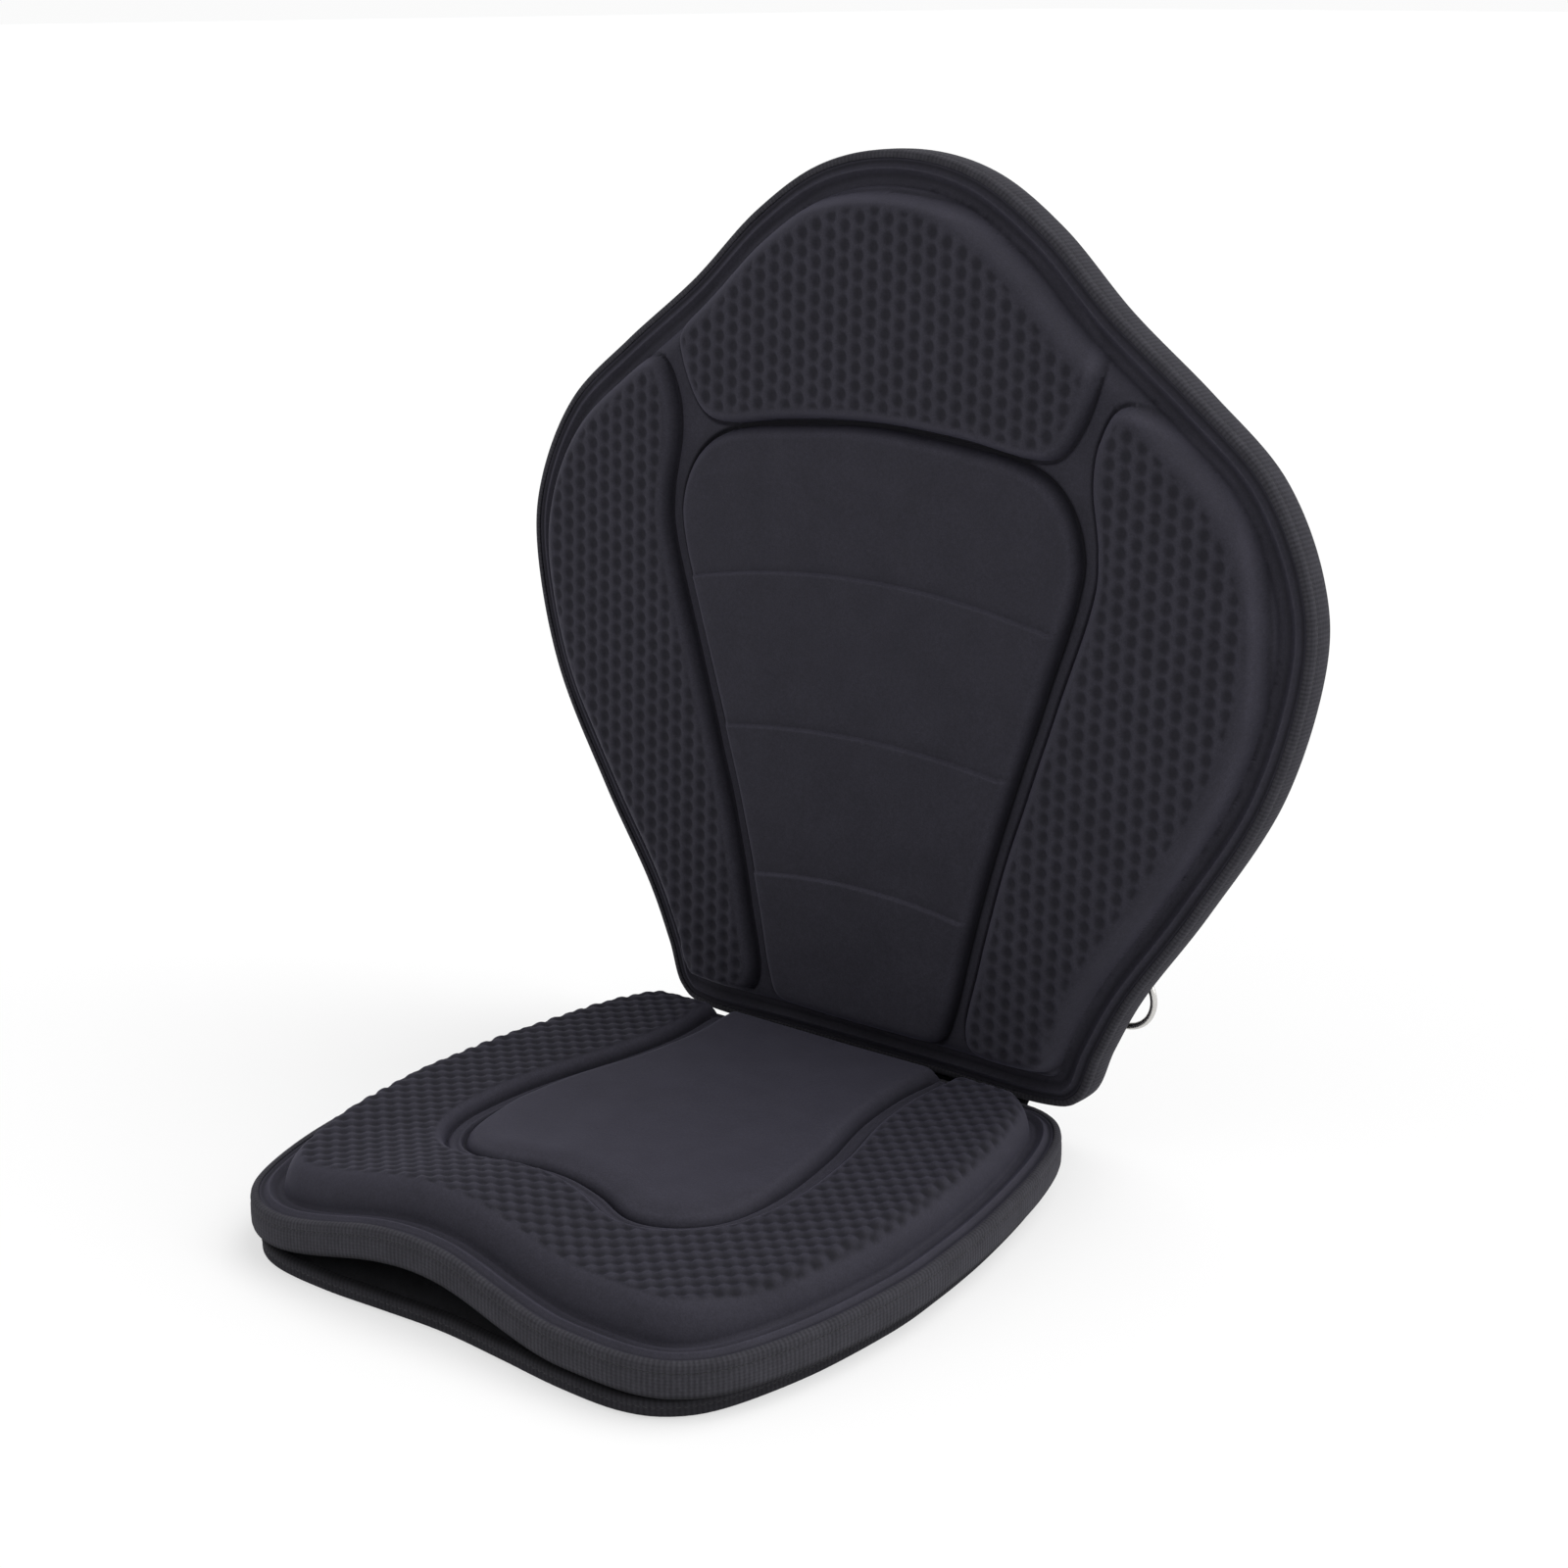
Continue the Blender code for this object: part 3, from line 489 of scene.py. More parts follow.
def slab(name, loop, inner, upper, lower, place, lower_grid=()):
    """A closed sheet of cloth or foam.

    upper(flat) gives height, sink along the surface's normal, and the painted shade and tone of its cloth, and
    lower(flat) gives height.
    """
    flat, faces = triangulated(loop, inner)
    height, sink, painted_shade_and_tone = upper(flat)
    top = np.column_stack([flat, height])
    top -= vertex_normals(top, faces) * sink[:, None]
    below, below_faces = triangulated(loop, lower_grid)
    bottom = np.column_stack([below, lower(below)])
    count, first = len(loop), len(top)
    walls = [(first + i, first + (i + 1) % count, (i + 1) % count, i) for i in range(count)]
    points = place(np.vstack([top, bottom]))
    every = faces.tolist() + (below_faces[:, ::-1] + first).tolist() + walls
    return new_mesh(name, points, every, np.concatenate([painted_shade_and_tone, np.full(len(bottom), 0.5)]))


def swept(name, rows, across, shade=None, caps=False):
    """A tube or band through rows of points. Each row is one line of its section, run all along it.

    The cloth attribute holds the distances along and across, in metres, and each row's shade.
    """
    rows = np.array(rows)
    lines, stations = rows.shape[:2]
    closed = not caps
    ends = stations if closed else stations - 1
    i, j = (side.ravel() for side in np.meshgrid(np.arange(lines), np.arange(ends), indexing="ij"))
    i2, j2 = (i + 1) % lines, (j + 1) % stations
    faces = np.column_stack([i * stations + j, i * stations + j2, i2 * stations + j2, i2 * stations + j])
    middle = rows.mean(axis=0)
    along = distances(np.vstack([middle, middle[:1]]) if closed else middle)
    across = np.append(across, across[-1])
    shade = np.ones(lines + 1) if shade is None else np.append(shade, shade[0])
    corners = [(along[j], i), (along[j + 1], i), (along[j + 1], i + 1), (along[j], i + 1)]
    cloth = np.stack([np.column_stack([place, across[row], shade[row]]) for place, row in corners], 1)
    every, cloth = faces.tolist(), cloth.reshape(-1, 3)
    if caps:
        every += [[line * stations for line in range(lines)],
                  [line * stations + stations - 1 for line in reversed(range(lines))]]
        cloth = np.vstack([cloth, np.zeros((2 * lines, 3))])
    mesh = new_mesh(name, rows.reshape(-1, 3), every)
    values = mesh.attributes.new("cloth", "FLOAT_VECTOR", "CORNER").data
    values.foreach_set("vector", cloth.astype(np.float32).ravel())
    return outward(mesh)


def outward(mesh):
    """Turns a closed mesh's faces out, and keeps its attributes."""
    bm = bmesh.new()
    bm.from_mesh(mesh)
    if bm.calc_volume(signed=True) < 0:
        bmesh.ops.reverse_faces(bm, faces=bm.faces[:])
    bm.to_mesh(mesh)
    bm.free()
    return mesh


def stitch_points(path, up, closed, pitch, length, radius):
    """Stitches in a row along a path, as (corners, faces). Each one dips into the cloth at its ends."""
    if closed:
        path, up = np.vstack([path, path[:1]]), np.vstack([up, up[:1]])
    along = distances(path)
    count = max(1, int(along[-1] / pitch))
    starts = (np.arange(count) + 0.5) * along[-1] / count - length / 2
    wanted = starts[:, None] + np.linspace(0, length, STITCH_RINGS)[None]
    centre = np.stack([np.interp(wanted, along, path[:, axis]) for axis in range(3)], -1)
    rise = np.stack([np.interp(wanted, along, up[:, axis]) for axis in range(3)], -1)
    forward = np.gradient(centre, axis=1)
    forward /= np.linalg.norm(forward, axis=2, keepdims=True)
    side = np.cross(forward, rise)
    side /= np.linalg.norm(side, axis=2, keepdims=True)
    width = np.array([0.45, 0.95, 1.0, 0.95, 0.45])[None, :, None] * radius
    lift = np.array([-0.9, 0.25, 0.5, 0.25, -0.9])[None, :, None] * radius
    rings = []
    for turn in np.arange(STITCH_SIDES) * 2 * math.pi / STITCH_SIDES:
        rings.append(centre + side * math.cos(turn) * width + rise * (math.sin(turn) * width * 0.85 + lift))
    corners = np.stack(rings, 2).reshape(-1, 3)
    faces = []
    round_ring = [(k, (k + 1) % STITCH_SIDES) for k in range(STITCH_SIDES)]
    for start in range(0, len(corners), STITCH_RINGS * STITCH_SIDES):
        last = start + (STITCH_RINGS - 1) * STITCH_SIDES
        for a in range(start, last, STITCH_SIDES):
            b = a + STITCH_SIDES
            faces += [(a + k, a + after, b + after, b + k) for k, after in round_ring]
        faces += [tuple(start + k for k in reversed(range(STITCH_SIDES))),
                  tuple(last + k for k in range(STITCH_SIDES))]
    return corners, faces


def stitch_row(path, out, place, closed=False):
    """A row of stitches along a drawn path. out is the way that the thread stands proud."""
    return place(path), place(path + out) - place(path), closed


def stitching(name, rows, thread, body, sizes):
    """One piece with all these rows of stitches. A row is (path, up, closed)."""
    corners, faces = [], []
    for path, up, closed in rows:
        more, quads = stitch_points(path, up, closed, sizes.stitch_pitch, sizes.stitch_length,
                                    sizes.thread / 2)
        first = sum(len(piece) for piece in corners)
        corners.append(more)
        faces += [tuple(first + index for index in face) for face in quads]
    mesh = outward(new_mesh(name, np.vstack(corners), faces))
    return add_piece(name, mesh, thread, body, "edge_tape")


# Settings

def length_setting(name, description, default):
    return FloatProperty(name=name, description=description, default=default, min=0.0, precision=5,
                         subtype="DISTANCE", unit="LENGTH")


def colour_setting(name, description, default):
    return FloatVectorProperty(name=name, description=description, default=default, size=3, min=0.0, max=1.0,
                               subtype="COLOR")


class KayakSeatSizes(bpy.types.PropertyGroup):
    """Sizes of the details on the pads and edges."""

    seat_pit_depth: length_setting("Seat pit depth", "Depth of the pressed texture on the seat", 0.0014)
    seat_pit_column: length_setting("Seat pit columns", "Distance between the seat texture's columns", 0.0055)
    seat_pit_row: length_setting("Seat pit rows", "Distance between pits down a column of the seat", 0.0103)
    back_pit_depth: length_setting("Backrest pit depth", "Depth of the backrest's pressed texture", 0.0015)
    back_pit_column: length_setting("Backrest pit columns", "Distance between the backrest's columns", 0.0084)
    back_pit_row: length_setting("Backrest pit rows", "Distance between pits down its columns", 0.00893)
    rim_bead: length_setting("Rim bead", "Height of the pressed bead beside the edge tape", 0.0014)
    channel_ledge: length_setting("Channel ledge", "Height of the ledge in the backrest's channels", 0.0020)
    panel_ledge: length_setting("Panel ledge", "Height of the ledges across the centre panel", 0.0022)
    thread: length_setting("Thread", "Thickness of the sewing thread", 0.00056)
    stitch_length: length_setting("Stitch length", "Length of one stitch", 0.0026)
    stitch_pitch: length_setting("Stitch pitch", "Distance from one stitch to the next", 0.0034)


class KayakSeatColours(bpy.types.PropertyGroup):
    """Colours of the cloths, thread and metal."""

    pad: colour_setting("Pad fabric", "Stretch fabric on the moulded pads", (0.0300, 0.0287, 0.0384))
    tape: colour_setting("Edge tape", "Ribbed tape round the edges", (0.0380, 0.0370, 0.0440))
    thread: colour_setting("Thread", "Sewing thread", (0.036, 0.036, 0.040))
    lining: colour_setting("Lining", "Thin lining under the seat pad", (0.020, 0.020, 0.023))
    grip: colour_setting("Grip cloth", "Rubber dotted cloth under the seat", (0.014, 0.014, 0.016))
    rear: colour_setting("Rear fabric", "Woven fabric on the back of the backrest", (0.024, 0.024, 0.028))
    webbing: colour_setting("Webbing", "Webbing of the side straps", (0.018, 0.018, 0.020))
    metal: colour_setting("Metal", "Nickel plated rings and sliders", (0.62, 0.61, 0.59))
    board: colour_setting("Stiffener", "Plastic board in the backrest", (0.05, 0.05, 0.052))
    floor: colour_setting("Floor", "Studio floor and backdrop", (0.90, 0.90, 0.90))


# Materials

# Sets these materials' names apart from the solids' own
FINISH = "_finish"
# Where nearly all of a noise texture's values lie
NOISE_RANGE = (0.3, 0.7)


def new_look(name, roughness, specular=0.3, metallic=0.0, sheen=0.0, sheen_tint=(1, 1, 1)):
    look = bpy.data.materials.new(name + FINISH)
    look.use_nodes = True
    values = {"Roughness": roughness, "Specular IOR Level": specular, "Metallic": metallic,
              "Sheen Weight": sheen, "Sheen Roughness": 0.5, "Sheen Tint": (*sheen_tint, 1)}
    for socket, value in values.items():
        shader_of(look).inputs[socket].default_value = value
    return look


def look_named(name, make, colours):
    """The material of this name, made once."""
    return bpy.data.materials.get(name + FINISH) or make(colours)


def shader_of(look):
    return look.node_tree.nodes["Principled BSDF"]


def node(look, kind, inputs=(), output=0, **settings):
    """Adds a node and gives one of its outputs. inputs are (socket, value or another node's output)."""
    made = look.node_tree.nodes.new("ShaderNode" + kind)
    for key, value in settings.items():
        setattr(made, key, value)
    for socket, value in inputs:
        if isinstance(value, bpy.types.NodeSocket):
            look.node_tree.links.new(value, made.inputs[socket])
        else:
            made.inputs[socket].default_value = value
    return made.outputs[output]


def maths(look, operation, a, b=0.0):
    return node(look, "Math", [(0, a), (1, b)], operation=operation)


def product(look, *factors):
    """Several factors multiplied together."""
    total = factors[0]
    for factor in factors[1:]:
        total = maths(look, "MULTIPLY", total, factor)
    return total


def ranged(look, value, low, high, new_low, new_high):
    """A value taken from one range to another, and held there."""
    return node(look, "MapRange", [(0, value), (1, low), (2, high), (3, new_low), (4, new_high)])


def speckle(look, size, detail=3.0):
    """Soft random patches of about this size."""
    place = node(look, "TexCoord", output=3)
    inputs = [("Vector", place), ("Scale", 1 / size), ("Detail", detail), ("Roughness", 0.6)]
    return node(look, "TexNoise", inputs)


def patchy(look, noise, low, high):
    """A factor that goes from low to high with soft random patches."""
    return ranged(look, noise, *NOISE_RANGE, low, high)


def finish_look(look, colour, tone, roughness, *bumps):
    """Joins a colour times its tone, a roughness and bumps to the shader.

    A bump is (height, distance in metres, strength).
    """
    shader, links = shader_of(look), look.node_tree.links
    shaded = node(look, "VectorMath", [(0, tuple(colour)), (3, tone)], operation="SCALE")
    links.new(shaded, shader.inputs["Base Color"])
    links.new(roughness, shader.inputs["Roughness"])
    normal = None
    for height, distance, strength in bumps:
        inputs = [("Height", height), ("Distance", distance), ("Strength", strength)]
        normal = node(look, "Bump", inputs + ([("Normal", normal)] if normal else []))
    links.new(normal, shader.inputs["Normal"])
    return look


def sine(look, value, length):
    """A wave of this length along a value in metres."""
    turned = node(look, "Math", [(0, value), (1, 2 * math.pi / length), (2, 0.0)], operation="MULTIPLY_ADD")
    return maths(look, "SINE", turned)


def cloth_axes(look):
    """The distances along and across a swept cloth, and its shade."""
    return parts_of(look, node(look, "Attribute", output=1, attribute_name="cloth"))


def object_axes(look):
    return parts_of(look, node(look, "TexCoord", output=3))


def parts_of(look, vector):
    made = look.node_tree.nodes.new("ShaderNodeSeparateXYZ")
    look.node_tree.links.new(vector, made.inputs[0])
    return made.outputs


def pad_fabric(colours):
    look = new_look("pad_fabric", 0.8, 0.12, sheen=0.05, sheen_tint=(0.6, 0.58, 0.95))
    painted_shade_and_tone = node(look, "Attribute", output=2, attribute_name="painted_shade_and_tone")
    broad, fine, knit = speckle(look, 0.020, 4), speckle(look, 0.0022), speckle(look, 0.0008, 2)
    # The attribute read here paints shade into the pits, grooves and channels and paints highlight onto the nubs,
    # beads, ledges and shoulders.
    tone = product(look, patchy(look, broad, 0.92, 1.08), patchy(look, fine, 0.88, 1.14),
                   ranged(look, painted_shade_and_tone, 0.0, 1.0, 0.30, 1.50), patchy(look, knit, 0.88, 1.12))
    rough = patchy(look, fine, 0.70, 0.86)
    return finish_look(look, colours.pad, tone, rough, (fine, 0.0002, 0.35), (knit, 0.00015, 0.5))


def ribbed_tape(colours):
    look = new_look("edge_tape", 0.85, 0.08, sheen=0.03, sheen_tint=(0.8, 0.8, 0.9))
    along, across, shade = cloth_axes(look)
    ribs, cross = sine(look, along, 0.0022), sine(look, across, 0.0016)
    weave = maths(look, "ADD", maths(look, "MULTIPLY", ribs, 0.7), maths(look, "MULTIPLY", cross, 0.25))
    broad, fine = speckle(look, 0.012), speckle(look, 0.0012)
    tone = product(look, ranged(look, weave, -0.95, 0.95, 0.78, 1.22), patchy(look, broad, 0.88, 1.12),
                   patchy(look, fine, 0.85, 1.15), shade)
    rough = patchy(look, fine, 0.78, 0.92)
    return finish_look(look, colours.tape, tone, rough, (weave, 0.00012, 0.7), (fine, 0.0001, 0.4))


def plain_weave(name, base, pitch, axes, depth):
    """Woven cloth laid flat: threads over and under, in the object's own axes."""
    look = new_look(name, 0.8, 0.12, sheen=0.03, sheen_tint=(0.8, 0.8, 0.9))
    place = object_axes(look)
    weave = product(look, *(sine(look, place[axis], pitch) for axis in axes))
    broad, fine = speckle(look, 0.015), speckle(look, 0.0012)
    tone = product(look, ranged(look, weave, -1, 1, 0.75, 1.25), patchy(look, broad, 0.88, 1.12))
    rough = patchy(look, fine, 0.7, 0.88)
    return finish_look(look, base, tone, rough, (weave, depth, 0.7), (fine, 0.0001, 0.3))


def lining_nylon(colours):
    return plain_weave("lining_cloth", colours.lining, 0.0007, (0, 1), 0.00012)


def rear_oxford(colours):
    return plain_weave("rear_fabric", colours.rear, 0.0012, (0, 2), 0.0002)


def hinge_weave(colours):
    return plain_weave("hinge_cloth", colours.lining, 0.0012, (0, 1), 0.0002)


def seam_weave(colours):
    return plain_weave("seam_tape", colours.rear, 0.0010, (0, 2), 0.0002)


def webbing_look(colours):
    look = new_look("strap_webbing", 0.82, 0.14, sheen=0.03)
    along, across, _ = cloth_axes(look)
    slant = maths(look, "ABSOLUTE", maths(look, "PINGPONG", across, 0.0032))
    cords, lengthwise = sine(look, maths(look, "ADD", along, slant), 0.0016), sine(look, across, 0.0016)
    weave = maths(look, "ADD", maths(look, "MULTIPLY", cords, 0.6), maths(look, "MULTIPLY", lengthwise, 0.4))
    fine = speckle(look, 0.001)
    tone = product(look, ranged(look, weave, -1, 1, 0.7, 1.35), patchy(look, fine, 0.88, 1.12))
    return finish_look(look, colours.webbing, tone, patchy(look, fine, 0.74, 0.9), (weave, 0.0002, 0.8))


def thread_look(colours):
    look = new_look("sewing_thread", 0.6, 0.15, sheen=0.02)
    twist, broad = speckle(look, 0.0006, 2), speckle(look, 0.010, 2)
    tone = product(look, patchy(look, twist, 0.8, 1.2), patchy(look, broad, 0.9, 1.1))
    return finish_look(look, colours.thread, tone, patchy(look, twist, 0.5, 0.7), (twist, 0.00005, 0.5))


def nickel(colours):
    look = new_look("strap_metal", 0.28, 0.5, metallic=1.0)
    broad, fine = speckle(look, 0.008), speckle(look, 0.0009, 4)
    tone = product(look, patchy(look, broad, 0.9, 1.05), ranged(look, fine, 0.35, 0.6, 0.93, 1.03))
    return finish_look(look, colours.metal, tone, patchy(look, fine, 0.2, 0.4), (fine, 0.00003, 0.25))


def dotted_grip(colours):
    """Cloth with a grid of small rubber dots."""
    look = new_look("grip_cloth", 0.7, 0.35)
    x, y, _ = object_axes(look)
    dots = product(look, sine(look, x, 0.006), sine(look, y, 0.006))
    dots = ranged(look, dots, 0.35, 0.6, 0.0, 1.0)
    weave = product(look, sine(look, x, 0.0008), sine(look, y, 0.0008))
    broad = speckle(look, 0.012)
    tone = product(look, ranged(look, dots, 0, 1, 1.0, 1.5), patchy(look, broad, 0.88, 1.12))
    rough = ranged(look, dots, 0, 1, 0.82, 0.45)
    return finish_look(look, colours.grip, tone, rough, (weave, 0.0001, 0.5), (dots, 0.0003, 1.0))


def board_plastic(colours):
    look = new_look("stiffener_plastic", 0.5, 0.4)
    broad, fine = speckle(look, 0.02), speckle(look, 0.0011)
    rough = patchy(look, fine, 0.42, 0.6)
    return finish_look(look, colours.board, patchy(look, broad, 0.92, 1.08), rough, (fine, 0.0001, 0.3))


# Moulded pads

SLOPE_LINES = PAD_SLOPE * np.array([0, 0.02, 0.06, 0.12, 0.2, 0.3, 0.42, 0.56, 0.7, 0.85, 1])
WALL_LINES = np.array([0, 0.12, 0.36, 0.7, 1.2, 1.8, 2.6, 3.6, 4.8, 6]) * MM
RIM_LINES = np.array([2.6, 3.2, 3.8, 4.4, 5.2, 6, 6.8, 7.5, 8, 8.5, 9, 9.5, 10.2, 11, 11.8, 12.6, 13.4,
                      14.4]) * MM
RIM_FORM = [(0, 0), (3.2, 0), (4.2, 0.8), (5.6, 0.1), (7, 0.9), (8.5, 0.9), (10, 0.9), (12, -0.1), (13.6, 0.5),
            (16, 0.3)]
LEDGE_LINES = -np.array([0.6, 1.2, 1.7, 2.2, 3.2]) * MM
SEAT_CHANNEL_LINES = -np.array([0.8, 1.6, 2.1, 2.6, 3.1, 3.6, 4.3, 5, 5.8, 6.5, 7.25, 8, 8.4, 8.8, 9.4,
                                10]) * MM
SEAT_CHANNEL_FLOOR = [(0, 0), (1.6, 0), (2.6, 3.2), (3.6, 3.2), (5, 2.2), (6.5, 2.6), (8, 2.6), (8.8, 1.6),
                      (10, 1.2)]
HEART_LINES = np.array([7.5, 9, 11, 13, 15]) * MM
BEAD_PLACE = 0.0085
BEAD_HALF_WIDTH = 0.0015
WALL_POWER = 0.45
STEP_RUN = 0.0012

# How dark the pads' cloth shows, from 0 to 1: plain, less where it is textured, and less in the pits, whose
# darkness is painted shade; the nubs between the pits get painted highlight
SEAT_SHADE_AND_TONE = (0.62, 0.36, 0.30)
BACK_SHADE_AND_TONE = (0.58, 0.12, 0.24)
PANEL_TONE = 0.06
# Darker lines of painted shade and lighter lines of painted highlight, each (tone, place inside the outline and
# half width in millimetres)
# Painted highlight on the bead and painted shade in the grooves beside it.
RIM_PAINTED_LIGHT = [(0.2, 8.5, 1.6), (-0.45, 5.4, 1.5), (-0.25, 12, 2.4)]
# Painted shade along the channel's feet round the heart and painted highlight on the shoulders on either side of
# it.
HEART_PAINTED_LIGHT = [(-0.45, -0.8, 1.6), (-0.4, -9.6, 1.4), (0.15, 3.5, 3), (0.2, -12.5, 2)]
# Painted highlight along each ledge's top and painted shade above it.
LEDGE_PAINTED_LIGHT = [(0.4, 0.8, 1.3), (-0.25, -1.2, 1.5)]
# Painted highlight on the islands' shoulders.
ISLAND_HIGHLIGHT = [(0.2, 3.5, 3)]
# Painted shade in the channel at the foot of the crown and the wings.
PRESSED_FOOT_SHADE = [(-0.25, -0.5, 1.4)]
# Painted shade in the groove round the centre panel.
PANEL_GROOVE_SHADE = [(-0.6, -1.2, 2.8)]


def painted_light_lines(distance, lines):
    """Painted shade and painted highlight lines along an outline."""
    return sum(tone * hump(distance, place * MM, half * MM) for tone, place, half in lines)


# Darker where the pad is textured, with painted shade in the pits and painted highlight on the nubs between them.
def pit_shade_and_tone(tones, mask, pits):
    plain, textured, pit_shade = tones
    return plain - textured * mask - pit_shade * pits


def rim_form(edge, foot, sizes):
    """The bead between two grooves that runs beside the tape, from the distance inside the outline."""
    bead = sizes.rim_bead * hump(edge, BEAD_PLACE, BEAD_HALF_WIDTH)
    return bead + MM * knotted(np.clip(edge / MM, 0, 16), RIM_FORM) * eased(1 - foot / (3 * MM))


def painted_rim_lines(edge, foot):
    """How the rim's grooves and bead show: painted shade lines in the grooves and a painted highlight line on the
    bead.
    """
    return painted_light_lines(edge, RIM_PAINTED_LIGHT) * eased(1 - foot / (2 * MM))


def seat_fields(points):
    loops = (outline(SEAT_HALF, FIELD_STEP), pad_foot(SEAT_HALF, SEAT_RIM, FIELD_STEP),
             outline(HEART_HALF, FIELD_STEP))
    return [depth_inside(points, loop) for loop in loops]


def seat_surface(points, sizes):
    """Height, sink, and painted shade and tone of the seat pad's top."""
    pitch = (sizes.seat_pit_column, sizes.seat_pit_row)
    edge, foot, heart = seat_fields(points)
    body = rounded_rise(foot, PAD_SLOPE)
    outer = rounded_rise(-heart - CHANNEL_WIDTH, CHANNEL_SLOPE, WALL_POWER)
    heart_slope = CHANNEL_SLOPE + 10 * MM * eased((-0.015 - points[:, 1]) / 0.035)
    raised = np.maximum(rounded_rise(heart, heart_slope, WALL_POWER), outer)
    floor = MM * knotted(np.clip(-heart / MM, 0, 10), SEAT_CHANNEL_FLOOR) * (raised < 1e-9)
    height = SEAT_FLANGE + PAD_RISE * body * (1 - CHANNEL_DEPTH_SHARE * (1 - raised)) + body * floor
    height += rim_form(edge, foot, sizes) + gentle_waves(points, 11) * (foot > 0) * body
    start = 3.5 * MM + 5 * MM * eased((-0.09 - points[:, 1]) / 0.05)
    mask = eased((foot - start) / (2 * MM)) * eased((-heart - 13.5 * MM) / (2 * MM))
    pits = pit_pattern(points, pitch, lines=0.0, fine=0.0) * mask
    # Painted shade in the pits, the heart's channel and the rim's grooves, and painted highlight on the nubs, the
    # shoulders and the bead.
    painted_shade_and_tone = pit_shade_and_tone(SEAT_SHADE_AND_TONE, mask, pits) + painted_light_lines(heart, HEART_PAINTED_LIGHT) + painted_rim_lines(edge, foot)
    return height, sizes.seat_pit_depth / 2 * pits, np.clip(painted_shade_and_tone, 0, 1)


def inside_foot(groups, foot_loop):
    """The groups' points that lie inside a pad's foot."""
    inside = [group[depth_inside(group, foot_loop) > 0.2 * MM] for group in groups]
    return [group for group in inside if len(group)]


def filled(edge, groups, low, high):
    """Every point inside a pad's edge: the groups', whose first is the edge, and a plain grid between them."""
    points = spread(groups)[len(edge):]
    plain = open_grid(low, high)
    plain = plain[depth_inside(plain, edge) > 2 * MM]
    far = spread([np.vstack([edge, points]), plain], PLAIN_GAP)[len(edge) + len(points):]
    return np.vstack([points, far])


def seat_shape_points(sizes):
    edge = inset(SEAT_LOOP, EDGE_INSET)
    foot = pad_foot(SEAT_HALF, SEAT_RIM, FINE_STEP)
    heart = outline(HEART_HALF, FINE_STEP)
    heart_lines = contours(heart, np.concatenate([WALL_LINES, HEART_LINES, SEAT_CHANNEL_LINES,
                                                  -CHANNEL_WIDTH - WALL_LINES[1:]]))
    low, high = SEAT_LOOP.min(axis=0), SEAT_LOOP.max(axis=0)
    pits = pit_grid(low, high, (sizes.seat_pit_column, sizes.seat_pit_row))
    _, depth, inner = seat_fields(pits)
    pits = pits[(depth > 3 * MM) & (inner < -13 * MM)]
    groups = [edge, contours(foot, SLOPE_LINES), contours(SEAT_LOOP, RIM_LINES)]
    groups += inside_foot([heart_lines, pits], foot)
    return edge, filled(edge, groups, low, high)


def back_loops(step):
    right = turned_left(smooth_loop(back_points(WING_OUTLINE), step))
    return {"edge": outline(BACK_HALF, step), "foot": pad_foot(BACK_HALF, BACK_RIM, step),
            "crown": outline(CROWN_HALF, step), "panel": outline(PANEL_HALF, step),
            "right": right, "left": turned_left(right * (-1, 1))}


def back_fields(points):
    return {name: depth_inside(points, loop) for name, loop in back_loops(FIELD_STEP).items()}


def panel_half_width(height):
    panel = outline(PANEL_HALF, CAD_CONTOUR_STEP)
    return np.abs(panel[np.abs(panel[:, 1] - height) < 0.02, 0]).max()


def ledges():
    """Each ledge's height at the middle and at the ends, its half width, and where its band ends."""
    steps = [[back_points([(0.0, height)])[0][1] for height in pair] for pair in PANEL_STEPS]
    bottoms = [middle for middle, _ in steps[1:]] + [outline(PANEL_HALF, CAD_CONTOUR_STEP)[:, 1].min()]
    return [(middle, end, panel_half_width(end), bottom) for (middle, end), bottom in zip(steps, bottoms)]


def below_ledge(points, middle, end, half):
    """How far below a ledge's curve each point lies."""
    return middle - (middle - end) * (points[:, 0] / half) ** 2 - points[:, 1]


def panel_form(points, panel_depth, sizes):
    """The ledges across the centre panel: each band stands proud at its top and fades downwards."""
    rise = np.zeros(len(points))
    for middle, end, half, bottom in ledges():
        below = below_ledge(points, middle, end, half)
        ledge = eased(below / STEP_RUN) * np.clip(1 - below / (middle - bottom), 0, 1)
        rise = np.maximum(rise, sizes.panel_ledge * ledge)
    return rise * np.clip(panel_depth / CHANNEL_SLOPE, 0, 1)


def painted_ledge_lines(points, panel_depth):
    """A painted highlight line along each ledge's top and a painted shade line above it."""
    lines = np.zeros(len(points))
    for middle, end, half, _ in ledges():
        lines += painted_light_lines(below_ledge(points, middle, end, half), LEDGE_PAINTED_LIGHT)
    return lines * np.clip(panel_depth / CHANNEL_SLOPE, 0, 1)


def ledge_lines():
    rows = []
    for middle, end, half, _ in ledges():
        xs = np.arange(-half + CHANNEL_SLOPE, half - CHANNEL_SLOPE, FINE_STEP)
        ys = middle - (middle - end) * (xs / half) ** 2
        rows += [np.column_stack([xs, ys - drop * MM]) for drop in (-0.3, 0, 0.3, 0.6, 0.9, 1.2, 1.6, 2.4)]
    return np.vstack(rows)


